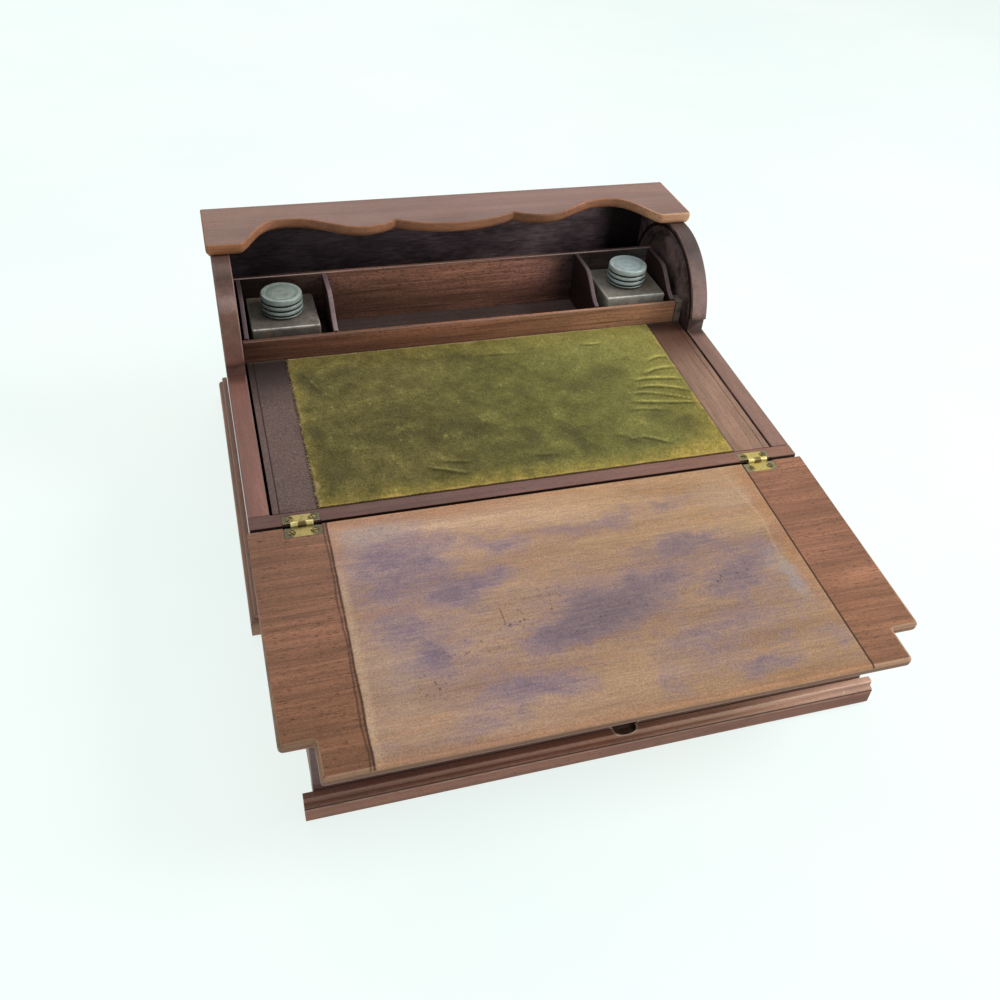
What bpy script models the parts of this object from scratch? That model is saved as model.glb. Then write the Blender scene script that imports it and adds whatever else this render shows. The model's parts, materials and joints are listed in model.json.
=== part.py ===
"""Mahogany lap desk with a roll shutter over the pen tray, a hinged writing flap and a drawer.

Frame: +X to the writer's right, +Y towards the back, +Z up, metres. The origin is the middle of the underside of the
bottom board. At rest the flap is unfolded on the drawer, the drawer is pulled out and the shutter is rolled back.
"""

import math

import bmesh
import bpy
from mathutils import Matrix

MM = 0.001
GAP = 0.3  # clearance between pieces that touch

# ---- driving dimensions, millimetres and degrees -------------------------------------------------------------------
CASE_W = 340.0  # over the side boards
CASE_D = 251.0  # front edges to back
FRONT_Y = -125.0  # where the case's front edge lies in the frame
SIDE_T = 12.0
SLOT_W = 1.6  # slot between side board and inner cheek, beside the writing panel
CHEEK_T = 3.8
BACK_T = 3.6
BASE_T = 5.0

HINGE_Z = 77.9  # front edge of the writing surface
PANEL_RISE = 2.61  # slope of the writing surface, up to the back
PANEL_T = 8.0
RAIL_D = 9.5
RAIL_BOTTOM = 62.5

END_Y, END_Z, END_R = 196.0, 86.5, 55.5  # curved end of a side board: centre behind the front edge, height, radius
END_TOP = END_Z + END_R
FOOT_H, FOOT_IN = 10.0, 3.0  # undercut where the folded flap's ears go

TOP_W, TOP_T, TOP_Z = 345.2, 8.0, 150.3
TOP_FRONT, TOP_BACK = 197.5, 253.6
ARCH_X, ARCH_Y = 114.0, 230.2  # deepest point of the side scallops
END_X, END_SHARP = 151.0, 1.9  # where a side scallop meets the straight end, and how late it falls
LOBE_X, LOBE_Y = 66.0, 210.8  # low lobes
CUSP_X, CUSP_Y = 43.0, 218.8
MID_Y = 207.5  # middle lobe

MOULD_W = 325.2  # moulding on the drawer front
MOULD_D, MOULD_H = 6.8, 14.8
PLINTH_D = 6.4

TRAY_FRONT = 158.0
TRAY_TOP = 100.4
TRAY_FLOOR_Z, TRAY_FLOOR_T = 79.5, 4.0
TRAY_WALL_T = 3.4
TRAY_LEFT, TRAY_RIGHT = -157.4, 152.6  # the tray stands nearer the left side board
WELL_SIDE_T = 3.1
REAR_WALL_Y, REAR_WALL_T, REAR_WALL_TOP = 212.0, 3.2, 117.8
DIVIDER_LEFT, DIVIDER_RIGHT, DIVIDER_T = -94.0, 90.3, 3.2

INK_X_LEFT, INK_X_RIGHT, INK_Y = -127.7, 124.3, 189.3
INK_W, INK_D, INK_TOP = 46.0, 44.4, 103.4
NECK_R, NECK_TOP, BORE_R, BORE_BOTTOM = 10.6, 113.2, 8.2, 83.0
CAP_R, CAP_BOTTOM, CAP_TOP = 14.0, 105.0, 118.0
CAP_BORE_R, CAP_BORE_TOP = 11.2, 115.6
WAD_R, WAD_T = 10.0, 1.8

FLAP_FALL = 4.31  # slope of the flap at rest, down to the front
FLAP_W, FLAP_T = 343.2, 6.0
FLAP_BACK, FLAP_EAR, FLAP_TONGUE, TONGUE_W = 2.5, 139.7, 160.2, 309.8
FLAP_CORNER_R = 3.0

HINGE_X, HINGE_W = 141.5, 20.6
AXIS_Y, AXIS_UP = -1.2, 0.6  # hinge axis in front of the case's edge, and above it
BARREL_W, BARREL_R, PIN_R, PIN_BORE_R = 12.6, 1.6, 0.75, 1.0
LEAF_T = 0.8
CASE_LEAF, FLAP_LEAF = 8.17, 9.0  # leaf lengths from the axis
SCREW_X, CASE_SCREW_Y, FLAP_SCREW_Y = 6.4, 5.2, 5.6
SCREW_HEAD_R, SCREW_R, SCREW_HEAD_H = 2.1, 0.95, 1.15

DRAWER_OUT = 130.1  # how far the drawer is pulled out at rest
DRAWER_W, DRAWER_FRONT_T = 314.6, 10.0
DRAWER_LOW, DRAWER_HIGH, DRAWER_SIDE_HIGH = 5.6, 61.6, 56.0
DRAWER_BACK_Y = 164.5  # outside of the drawer's back when it is shut
DRAWER_SIDE_T = 6.1
NOTCH_X, NOTCH_Z, NOTCH_R = 10.0, 22.5, 9.2

ROLL_Y, ROLL_Z = 191.5, 94.0  # centre of the shutter's round track
TRACK_IN, TRACK_OUT, TRACK_DEEP = 38.9, 42.6, 2.5
CANVAS_IN, CANVAS_OUT = 39.3, 39.8
SLAT_IN, SLAT_OUT = 40.1, 42.2
SLATS, SLAT_PITCH, SLAT_GAP = 12, 10.0, 0.6
LEAD_ANGLE, LEAD_WIDTH = 76.0, 11.4  # degrees behind the top, at rest
SHUTTER_W = 320.4

SIDE_IN = CASE_W / 2 - SIDE_T
CHEEK_OUT = SIDE_IN - SLOT_W
CHEEK_IN = CHEEK_OUT - CHEEK_T
TRAY_X = CHEEK_IN - GAP
RISE = math.radians(PANEL_RISE)
FALL = math.radians(FLAP_FALL)


def panel_z(y):
    """Height of the writing surface at a distance behind the case's front edge."""
    return HINGE_Z + y * math.tan(RISE)


# ---- scene -----------------------------------------------------------------------------------------------------------
for old in list(bpy.data.objects):
    bpy.data.objects.remove(old, do_unlink=True)

desk = bpy.data.collections.new("lap_desk")
cutters = bpy.data.collections.new("lap_desk_cutters")
for collection in (desk, cutters):
    bpy.context.scene.collection.children.link(collection)


def material(name, colour, roughness, metallic=0.0):
    made = bpy.data.materials.new(name)
    made.use_nodes = True
    shader = made.node_tree.nodes["Principled BSDF"]
    shader.inputs["Base Color"].default_value = (*colour, 1.0)
    shader.inputs["Roughness"].default_value = roughness
    shader.inputs["Metallic"].default_value = metallic
    return made


WOOD = material("mahogany", (0.16, 0.065, 0.04), 0.45)
DARK_WOOD = material("dark_mahogany", (0.06, 0.028, 0.02), 0.55)
PALE_WOOD = material("drawer_lining_wood", (0.35, 0.2, 0.11), 0.6)
FLAP_WOOD = material("flap_wood", (0.28, 0.14, 0.08), 0.55)
VELVET = material("olive_velvet", (0.13, 0.12, 0.02), 0.9)
BRASS = material("brass", (0.5, 0.36, 0.12), 0.4, 1.0)
SCREW_BRASS = material("tarnished_brass", (0.2, 0.16, 0.08), 0.5, 1.0)
PEWTER = material("pewter_cap", (0.3, 0.35, 0.33), 0.45, 1.0)
INK_METAL = material("inkwell_body", (0.08, 0.075, 0.055), 0.45, 0.6)
CORK = material("cork", (0.3, 0.18, 0.09), 0.9)
CANVAS = material("canvas", (0.05, 0.04, 0.035), 0.95)


def add(obj, look=None, parent=None):
    """Puts an object into the desk, with its material and parent; its world place does not change."""
    for holder in list(obj.users_collection):
        holder.objects.unlink(obj)
    desk.objects.link(obj)
    if look:
        obj.data.materials.clear()
        obj.data.materials.append(look)
    if parent:
        obj.parent = parent
        obj.matrix_parent_inverse = parent.matrix_world.inverted()
    return obj


def as_cutter(obj):
    for holder in list(obj.users_collection):
        holder.objects.unlink(obj)
    cutters.objects.link(obj)
    obj.hide_render = True
    obj.display_type = "WIRE"
    return obj


def empty(name, x, y, z):
    made = bpy.data.objects.new(name, None)
    made.empty_display_size = 0.02
    made.location = (x * MM, y * MM, z * MM)
    desk.objects.link(made)
    bpy.context.view_layer.update()
    return made


def mesh_object(name, bm):
    bmesh.ops.recalc_face_normals(bm, faces=bm.faces)
    mesh = bpy.data.meshes.new(name)
    bm.to_mesh(mesh)
    bm.free()
    return bpy.data.objects.new(name, mesh)


def box(name, low, high):
    """A box between two corners, given in millimetres."""
    bm = bmesh.new()
    bmesh.ops.create_cube(bm, size=1.0)
    size = [(b - a) * MM for a, b in zip(low, high)]
    bmesh.ops.scale(bm, vec=size, verts=bm.verts)
    made = mesh_object(name, bm)
    made.location = [(a + b) / 2 * MM for a, b in zip(low, high)]
    cutters.objects.link(made)
    bpy.context.view_layer.update()
    return made


def prism(name, outline, low, high, along="X"):
    """A flat outline extruded between two places: (y, z) points along X, or (x, y) points along Z."""
    curve = bpy.data.curves.new(name + "_outline", "CURVE")
    curve.dimensions = "2D"
    curve.fill_mode = "BOTH"
    curve.extrude = (high - low) / 2 * MM
    spline = curve.splines.new("POLY")
    spline.points.add(len(outline) - 1)
    for point, (u, v) in zip(spline.points, outline):
        point.co = (u * MM, v * MM, 0.0, 1.0)
    spline.use_cyclic_u = True
    guide = bpy.data.objects.new(name + "_outline", curve)
    cutters.objects.link(guide)
    middle = (low + high) / 2 * MM
    if along == "X":
        guide.location = (middle, 0.0, 0.0)
        guide.rotation_euler = (math.pi / 2, 0.0, math.pi / 2)
    else:
        guide.location = (0.0, 0.0, middle)
    bpy.context.view_layer.update()
    graph = bpy.context.evaluated_depsgraph_get()
    mesh = bpy.data.meshes.new_from_object(guide.evaluated_get(graph))
    bm = bmesh.new()
    bm.from_mesh(mesh)
    bmesh.ops.remove_doubles(bm, verts=bm.verts, dist=1e-6)
    bmesh.ops.recalc_face_normals(bm, faces=bm.faces)
    bm.to_mesh(mesh)
    bm.free()
    mesh.name = name
    made = bpy.data.objects.new(name, mesh)
    made.matrix_world = guide.matrix_world.copy()
    bpy.data.objects.remove(guide, do_unlink=True)
    cutters.objects.link(made)
    bpy.context.view_layer.update()
    return made


def turned(name, profile, steps, x, y, z):
    """A profile of (radius, height) points, turned about a vertical line."""
    bm = bmesh.new()
    points = [bm.verts.new((r * MM, 0.0, h * MM)) for r, h in profile]
    for a, b in zip(points, points[1:]):
        bm.edges.new((a, b))
    mesh = bpy.data.meshes.new(name)
    bm.to_mesh(mesh)
    bm.free()
    made = bpy.data.objects.new(name, mesh)
    made.location = (x * MM, y * MM, z * MM)
    cutters.objects.link(made)
    screw = made.modifiers.new("turn", "SCREW")
    screw.steps = screw.render_steps = steps
    screw.use_merge_vertices = True
    screw.merge_threshold = 1e-5
    bpy.context.view_layer.update()
    graph = bpy.context.evaluated_depsgraph_get()
    solid = bpy.data.meshes.new_from_object(made.evaluated_get(graph))
    made.modifiers.clear()
    made.data = solid
    solid.name = name
    solid.shade_smooth()
    solid.set_sharp_from_angle(angle=math.radians(35))
    return made


def rod(name, radius, low, high, sides, y, z):
    """A round bar along X."""
    bm = bmesh.new()
    bmesh.ops.create_cone(
        bm, cap_ends=True, segments=sides, radius1=radius * MM, radius2=radius * MM, depth=(high - low) * MM
    )
    bmesh.ops.rotate(bm, verts=bm.verts, matrix=Matrix.Rotation(math.pi / 2, 3, "Y"))
    made = mesh_object(name, bm)
    made.location = ((low + high) / 2 * MM, y * MM, z * MM)
    cutters.objects.link(made)
    bpy.context.view_layer.update()
    return made


def combine(obj, other, operation):
    """Boolean, with the result kept as the object's own mesh."""
    modifier = obj.modifiers.new("cut", "BOOLEAN")
    modifier.operation = operation
    modifier.solver = "EXACT"
    modifier.object = other
    bpy.context.view_layer.update()
    graph = bpy.context.evaluated_depsgraph_get()
    mesh = bpy.data.meshes.new_from_object(obj.evaluated_get(graph))
    obj.modifiers.clear()
    obj.data = mesh
    mesh.name = obj.name
    return obj


def cut(obj, *tools):
    for tool in tools:
        as_cutter(tool)
        combine(obj, tool, "DIFFERENCE")
    return obj


def join(obj, *others):
    for other in others:
        as_cutter(other)
        combine(obj, other, "UNION")
    return obj


def tilt(obj, angle, y, z):
    """Turns an object about a line along X through (y, z)."""
    pivot = Matrix.Translation((0.0, y * MM, z * MM))
    obj.matrix_world = pivot @ Matrix.Rotation(angle, 4, "X") @ pivot.inverted() @ obj.matrix_world
    bpy.context.view_layer.update()
    return obj


def arc(cy, cz, radius, start, end, steps):
    """Points on a circle, by degrees from straight up towards the back."""
    found = []
    for k in range(steps + 1):
        t = math.radians(start + (end - start) * k / steps)
        found.append((cy + radius * math.sin(t), cz + radius * math.cos(t)))
    return found


def at_front(points):
    """Distances behind the case's front edge, made places in the frame."""
    return [(FRONT_Y + y, z) for y, z in points]


def both_sides(name, make, look, parent=None):
    """Makes a piece for the right (side +1) and for the left (side -1)."""
    return [add(make(f"{name}_{word}", side), look, parent) for word, side in (("left", -1), ("right", 1))]


def span(side, inner, outer):
    return (inner, outer) if side > 0 else (-outer, -inner)


# ---- case ------------------------------------------------------------------------------------------------------------
def side_board(name, side):
    foot_top = panel_z(END_Y - END_R) + FOOT_H
    last = -90.0 + math.degrees(math.asin((foot_top - END_Z) / END_R))
    curve = arc(END_Y, END_Z, END_R, 0.0, last, 18)
    foot_y = curve[-1][0] + FOOT_IN
    outline = [(0.0, 0.0), (CASE_D, 0.0), (CASE_D, END_TOP)] + curve
    outline += [
        (foot_y, foot_top),
        (foot_y, panel_z(foot_y)),
        (RAIL_D + GAP, panel_z(RAIL_D + GAP)),
        (RAIL_D + GAP, RAIL_BOTTOM - GAP),
        (0.0, RAIL_BOTTOM - GAP),
    ]
    board = prism(name, at_front(outline), *span(side, SIDE_IN, CASE_W / 2))
    band = arc(ROLL_Y, ROLL_Z, TRACK_OUT, -93.0, 213.0, 42) + arc(ROLL_Y, ROLL_Z, TRACK_IN, 213.0, -93.0, 42)
    return cut(board, prism(name + "_track", at_front(band), *span(side, SIDE_IN - 1.0, SIDE_IN + TRACK_DEEP)))


def inner_cheek(name, side):
    """A strip between the writing panel and the slot."""
    stop = TRAY_FRONT - GAP
    start = RAIL_D + GAP
    outline = [(start, 63.0), (stop, 63.0), (stop, panel_z(stop)), (start, panel_z(start))]
    return prism(name, at_front(outline), *span(side, CHEEK_IN, CHEEK_OUT))


def moulding_profile(depth, height):
    """(out, up) points of the base moulding: a plain lower face, a round shoulder, a quirk and a small nosed fillet."""
    low = 0.60 * height
    points = [(0.0, 0.0), (depth, 0.0), (depth, low)]
    shoulder = 0.16 * height
    for k in range(1, 5):
        t = math.pi / 2 * k / 4
        points.append((depth - shoulder * (1 - math.cos(t)), low + shoulder * math.sin(t)))
    step = depth - shoulder - 0.5
    points += [(step, low + shoulder), (step, height - 1.0), (step - 0.3, height - 0.3), (step - 1.0, height)]
    points.append((0.0, height))
    return points


def plinth(name, side):
    """The moulding along one side, mitred round the front corner."""
    profile = moulding_profile(PLINTH_D, MOULD_H)
    x0, x1 = MOULD_W / 2 + 0.7, CASE_W / 2 + GAP
    y0, y1 = FRONT_Y - GAP, FRONT_Y + CASE_D
    bm = bmesh.new()
    stations = (lambda u: (x0, y0 - u), lambda u: (x1 + u, y0 - u), lambda u: (x1 + u, y1))
    rings = []
    for place in stations:
        rings.append([bm.verts.new((side * place(u)[0] * MM, place(u)[1] * MM, v * MM)) for u, v in profile])
    for near, far in zip(rings, rings[1:]):
        for k in range(len(profile)):
            bm.faces.new((near[k - 1], near[k], far[k], far[k - 1]))
    bm.faces.new(rings[0])
    bm.faces.new(rings[-1])
    made = mesh_object(name, bm)
    cutters.objects.link(made)
    return made


def scallop(x):
    """Front edge of the top board at a distance from its middle."""
    x = abs(x)
    if x <= CUSP_X:
        return MID_Y + (CUSP_Y - MID_Y) * (x / CUSP_X) ** 2
    if x <= LOBE_X:
        return LOBE_Y + (CUSP_Y - LOBE_Y) * ((LOBE_X - x) / (LOBE_X - CUSP_X)) ** 2
    if x <= ARCH_X:
        t = (x - LOBE_X) / (ARCH_X - LOBE_X)
        return LOBE_Y + (ARCH_Y - LOBE_Y) * (1 - math.cos(math.pi * t)) / 2
    t = min(1.0, (x - ARCH_X) / (END_X - ARCH_X)) ** END_SHARP
    return TOP_FRONT + (ARCH_Y - TOP_FRONT) * (1 + math.cos(math.pi * t)) / 2


def top_board(name):
    half = TOP_W / 2
    stops = [k * CUSP_X / 8 for k in range(9)] + [CUSP_X + k * (LOBE_X - CUSP_X) / 5 for k in range(1, 6)]
    stops += [LOBE_X + k * (ARCH_X - LOBE_X) / 9 for k in range(1, 10)]
    stops += [ARCH_X + (END_X - ARCH_X) * k / 16 for k in range(1, 17)]
    right = [(x, scallop(x)) for x in stops] + [(half - 2.0, TOP_FRONT), (half - 0.6, TOP_FRONT + 0.6)]
    right += [(half, TOP_FRONT + 2.0), (half, TOP_BACK)]
    outline = right + [(-x, y) for x, y in reversed(right[1:])]
    return prism(name, [(x, FRONT_Y + y) for x, y in outline], TOP_Z - TOP_T, TOP_Z, "Z")


SIDES = both_sides("side_board", side_board, WOOD)
CHEEKS = both_sides("inner_cheek", inner_cheek, DARK_WOOD)
both_sides("plinth", plinth, WOOD)
add(top_board("top_board"), WOOD)
inside = SIDE_IN - GAP
add(box("bottom_board", (-inside, FRONT_Y + GAP, 0.0), (inside, FRONT_Y + CASE_D, BASE_T)), DARK_WOOD)
add(
    box(
        "back_board",
        (-inside, FRONT_Y + CASE_D - BACK_T, BASE_T + GAP),
        (inside, FRONT_Y + CASE_D, END_TOP),
    ),
    DARK_WOOD,
)

rail_outline = [(0.0, RAIL_BOTTOM), (RAIL_D, RAIL_BOTTOM), (RAIL_D, panel_z(RAIL_D)), (0.0, panel_z(0.0))]
front_rail = prism("front_rail", at_front(rail_outline), -CASE_W / 2, CASE_W / 2)

panel_end = TRAY_FRONT - GAP
panel_start = RAIL_D + GAP
panel_outline = [
    (panel_start, panel_z(panel_start) - PANEL_T),
    (panel_end, panel_z(panel_end) - PANEL_T),
    (panel_end, panel_z(panel_end)),
    (panel_start, panel_z(panel_start)),
]
add(prism("writing_panel", at_front(panel_outline), -TRAY_X, TRAY_X), WOOD)

VELVET_X, VELVET_FROM, VELVET_TO, VELVET_T = 130.7, 10.2, 156.5, 0.6
velvet_outline = [
    (VELVET_FROM, panel_z(VELVET_FROM) + GAP),
    (VELVET_TO, panel_z(VELVET_TO) + GAP),
    (VELVET_TO, panel_z(VELVET_TO) + GAP + VELVET_T),
    (VELVET_FROM, panel_z(VELVET_FROM) + GAP + VELVET_T),
]
add(prism("writing_velvet", at_front(velvet_outline), -VELVET_X, VELVET_X), VELVET)

# ---- pen tray --------------------------------------------------------------------------------------------------------
tray_in = TRAY_FRONT + TRAY_WALL_T + GAP
tray_out = REAR_WALL_Y - GAP
low = TRAY_FLOOR_Z - TRAY_FLOOR_T
add(
    box(
        "tray_front_rail",
        (TRAY_LEFT, FRONT_Y + TRAY_FRONT, low + 0.9),
        (TRAY_RIGHT, FRONT_Y + TRAY_FRONT + TRAY_WALL_T, TRAY_TOP),
    ),
    WOOD,
)
add(
    box(
        "tray_rear_wall",
        (TRAY_LEFT, FRONT_Y + REAR_WALL_Y, low),
        (TRAY_RIGHT, FRONT_Y + REAR_WALL_Y + REAR_WALL_T, REAR_WALL_TOP),
    ),
    WOOD,
)
add(box("tray_floor", (TRAY_LEFT, FRONT_Y + tray_in, low), (TRAY_RIGHT, FRONT_Y + tray_out, TRAY_FLOOR_Z)), DARK_WOOD)


def cross_piece(name, x0, x1):
    """A divider or well side: level at the back, then an S-shaped drop to the low front rail."""
    high, drop, start, end = REAR_WALL_TOP - GAP, 16.2, 189.0, 161.2
    outline = [(tray_in, TRAY_FLOOR_Z + GAP), (tray_out, TRAY_FLOOR_Z + GAP), (tray_out, high)]
    for k in range(17):
        y = start + (tray_in - start) * k / 16
        t = (start - y) / (start - end)
        outline.append((y, high - drop * (1 - math.cos(math.pi * t)) / 2))
    return prism(name, at_front(outline), x0, x1)


add(cross_piece("divider_left", DIVIDER_LEFT - DIVIDER_T, DIVIDER_LEFT), WOOD)
add(cross_piece("divider_right", DIVIDER_RIGHT, DIVIDER_RIGHT + DIVIDER_T), WOOD)
left_side = TRAY_LEFT + 1.4
add(cross_piece("well_side_left", left_side, left_side + WELL_SIDE_T), DARK_WOOD)
right_side = cross_piece("well_side_right", TRAY_RIGHT - WELL_SIDE_T, TRAY_RIGHT)
# a block on the right one fills the gap beside the front rail
block_back, block_top = FRONT_Y + TRAY_FRONT + 10.0, TRAY_TOP + 0.4
web = box(
    "block_web", (TRAY_RIGHT - 1.2, FRONT_Y + tray_in + 0.4, TRAY_FLOOR_Z + 1.0), (TRAY_RIGHT + 1.2, block_back - 0.6, block_top - 0.5)
)
block = box("block", (TRAY_RIGHT + GAP, FRONT_Y + TRAY_FRONT, low + 0.9), (SIDE_IN - GAP, block_back, block_top))
add(join(right_side, web, block), DARK_WOOD)

# ---- inkwells --------------------------------------------------------------------------------------------------------
ink_base = TRAY_FLOOR_Z + GAP


def inkwell_body(name, x):
    half, deep = INK_W / 2, INK_D / 2
    y = FRONT_Y + INK_Y
    block = box(name, (x - half, y - deep, ink_base), (x + half, y + deep, INK_TOP))
    bevel = block.modifiers.new("round", "BEVEL")
    bevel.width = 1.6 * MM
    bevel.segments = 2
    neck = turned(
        name + "_neck",
        [(0.0, NECK_TOP), (NECK_R, NECK_TOP), (NECK_R, INK_TOP - 4.0), (0.0, INK_TOP - 4.0)],
        24,
        x,
        y,
        0.0,
    )
    bore = turned(
        name + "_bore",
        [(0.0, NECK_TOP + 5.0), (BORE_R, NECK_TOP + 5.0), (BORE_R, BORE_BOTTOM), (0.0, BORE_BOTTOM)],
        24,
        x,
        y,
        0.0,
    )
    return cut(join(block, neck), bore)


def cap_profile():
    """Outside from the middle of the top down over three ridges, then up the bore to the middle again."""
    points = [(0.0, CAP_TOP), (CAP_R - 1.2, CAP_TOP), (CAP_R - 0.2, CAP_TOP - 0.7)]
    ridges = 3
    first, last = CAP_TOP - 1.6, CAP_BOTTOM + 0.6
    pitch = (first - last) / ridges
    for k in range(ridges):
        top = first - k * pitch
        points += [(CAP_R, top), (CAP_R, top - 0.45 * pitch), (CAP_R - 1.0, top - 0.6 * pitch)]
        points.append((CAP_R - 1.0, top - 0.85 * pitch))
    points += [(CAP_R, last), (CAP_R - 0.4, CAP_BOTTOM), (CAP_BORE_R, CAP_BOTTOM)]
    points += [(CAP_BORE_R, CAP_BORE_TOP), (0.0, CAP_BORE_TOP)]
    return points


for word, ink_x in (("left", INK_X_LEFT), ("right", INK_X_RIGHT)):
    lift = empty(f"inkwell_{word}_lift", ink_x, FRONT_Y + INK_Y, ink_base)
    add(inkwell_body(f"inkwell_{word}", ink_x), INK_METAL, lift)
    cap = turned(f"inkwell_cap_{word}", cap_profile(), 24, ink_x, FRONT_Y + INK_Y, 0.0)
    add(cap, PEWTER, lift)
    wad_low = NECK_TOP + GAP
    wad_profile = [(0.0, wad_low + WAD_T), (WAD_R, wad_low + WAD_T), (WAD_R, wad_low), (0.0, wad_low)]
    add(turned(f"inkwell_wad_{word}", wad_profile, 20, ink_x, FRONT_Y + INK_Y, 0.0), CORK, lift)

# ---- hinges ----------------------------------------------------------------------------------------------------------
axis_y, axis_z = FRONT_Y + AXIS_Y, HINGE_Z + AXIS_UP
case_drop = -AXIS_Y * math.sin(RISE) + AXIS_UP * math.cos(RISE)  # from the axis to the writing surface
flap_drop = -AXIS_Y * math.sin(FALL) + AXIS_UP * math.cos(FALL)  # from the axis to the flap's top face
flap_axis = empty("flap_axis", 0.0, axis_y, axis_z)


def leaf(name, x, direction, length, drop, angle, middle):
    """One hinge leaf: a plate on the wood, with its knuckles round the axis. direction +1 runs to the back."""
    half, outer, third = HINGE_W / 2, BARREL_W / 2, BARREL_W / 6
    top = axis_z - drop + 0.05

    def slab(tag, x0, x1, y0, y1):
        ys = sorted((axis_y + direction * y0, axis_y + direction * y1))
        return box(f"{name}_{tag}", (x + x0, ys[0], top - LEAF_T), (x + x1, ys[1], top))

    knuckles = [(-third, third)] if middle else [(-outer, -third - GAP), (third + GAP, outer)]
    plate = slab("plate", -half, half, BARREL_R + 0.35, length)
    for k, (x0, x1) in enumerate(knuckles):
        barrel = rod(f"{name}_barrel{k}", BARREL_R, x + x0, x + x1, 16, axis_y, axis_z)
        join(plate, slab(f"neck{k}", x0, x1, 0.0, BARREL_R + 1.2), barrel)
    cut(plate, rod(f"{name}_bore", PIN_BORE_R, x - half - 2, x + half + 2, 12, axis_y, axis_z))
    plate.name = name
    return tilt(plate, angle, axis_y, axis_z)


def screw_shape(name, x, y, drop, length, grow, angle):
    """A countersunk screw square to its leaf; grow makes the hole that clears it."""
    top = axis_z - drop
    profile = [(SCREW_HEAD_R + grow, 0.0), (SCREW_R + grow, -SCREW_HEAD_H), (SCREW_R + grow, -length - grow)]
    profile = [(0.0, 1.5 if grow else 0.0)] + ([(SCREW_HEAD_R + grow, 1.5)] if grow else []) + profile
    profile.append((0.0, -length - grow))
    made = turned(name, profile, 12, x, axis_y + y, top)
    return tilt(made, angle, axis_y, axis_z)


def pocket(name, x, direction, length, drop, angle):
    """Room for a leaf and its barrel in the wood below."""
    surface = axis_z - drop
    half = HINGE_W / 2 + GAP
    ys = sorted((axis_y, axis_y + direction * (length + GAP)))
    plate = box(name, (x - half, ys[0], surface - 1.1), (x + half, ys[1], surface + 6.0))
    ys = sorted((axis_y - direction * 1.0, axis_y + direction * 2.1))
    relief = box(name + "_relief", (x - half - 0.2, ys[0], surface - 1.5), (x + half + 0.2, ys[1], surface + 7.0))
    return tilt(plate, angle, axis_y, axis_z), tilt(relief, angle, axis_y, axis_z)


# ---- flap ------------------------------------------------------------------------------------------------------------
def rounded(outline, radii, steps=4):
    """The outline with each corner rounded by its radius."""
    found = []
    count = len(outline)
    for k, ((x, y), radius) in enumerate(zip(outline, radii)):
        (px, py), (nx, ny) = outline[k - 1], outline[(k + 1) % count]
        before, after = math.hypot(px - x, py - y), math.hypot(nx - x, ny - y)
        a = (x + (px - x) / before * radius, y + (py - y) / before * radius)
        b = (x + (nx - x) / after * radius, y + (ny - y) / after * radius)
        for j in range(steps + 1):
            t = j / steps
            u = (1 - t) * (1 - t), 2 * t * (1 - t), t * t
            found.append((u[0] * a[0] + u[1] * x + u[2] * b[0], u[0] * a[1] + u[1] * y + u[2] * b[1]))
    return found


along = AXIS_Y * math.cos(FALL) + AXIS_UP * math.sin(FALL)
half_w, half_t = FLAP_W / 2, TONGUE_W / 2
back_y, ear_y, tongue_y = (axis_y - along - s for s in (FLAP_BACK, FLAP_EAR, FLAP_TONGUE))
flap_corners = [
    (half_w, back_y),
    (-half_w, back_y),
    (-half_w, ear_y + 0.2),
    (-half_t, ear_y + 0.2),
    (-half_t, tongue_y),
    (half_t, tongue_y),
    (half_t, ear_y),
    (half_w, ear_y),
]
corner = FLAP_CORNER_R
flap_outline = rounded(flap_corners, [1.0, 1.0, corner, 1.0, corner / 2, corner, 1.0, corner])
flap_top = axis_z - flap_drop
flap_board = prism("flap_board", flap_outline, flap_top - FLAP_T, flap_top, "Z")
tilt(flap_board, FALL, axis_y, axis_z)

for word, side in (("left", -1), ("right", 1)):
    x = side * HINGE_X
    cut(front_rail, *pocket(f"rail_pocket_{word}", x, 1, CASE_LEAF, case_drop, RISE))
    cut(flap_board, *pocket(f"flap_pocket_{word}", x, -1, FLAP_LEAF, flap_drop, FALL))
    case_leaf = leaf(f"hinge_case_leaf_{word}", x, 1, CASE_LEAF, case_drop, RISE, True)
    flap_leaf = leaf(f"hinge_flap_leaf_{word}", x, -1, FLAP_LEAF, flap_drop, FALL, False)
    for number, offset in ((1, -SCREW_X), (2, SCREW_X)):
        for holder, wood, y, drop, length, angle, tag in (
            (case_leaf, front_rail, CASE_SCREW_Y, case_drop, 9.0, RISE, "case"),
            (flap_leaf, flap_board, -FLAP_SCREW_Y, flap_drop, 4.6, FALL, "flap"),
        ):
            name = f"{tag}_screw_{word}_{number}"
            hole = screw_shape(name + "_hole", x + offset, y, drop, length, 0.28, angle)
            cut(holder, hole)
            cut(wood, hole)
            screw = screw_shape(name, x + offset, y, drop, length, 0.0, angle)
            add(screw, SCREW_BRASS, flap_axis if tag == "flap" else None)
    add(case_leaf, BRASS)
    add(flap_leaf, BRASS, flap_axis)
    pin = rod(f"hinge_pin_{word}", PIN_R, x - BARREL_W / 2 - 0.2, x + BARREL_W / 2 + 0.2, 12, axis_y, axis_z)
    add(pin, BRASS)

add(front_rail, WOOD)
add(flap_board, FLAP_WOOD, flap_axis)

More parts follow.
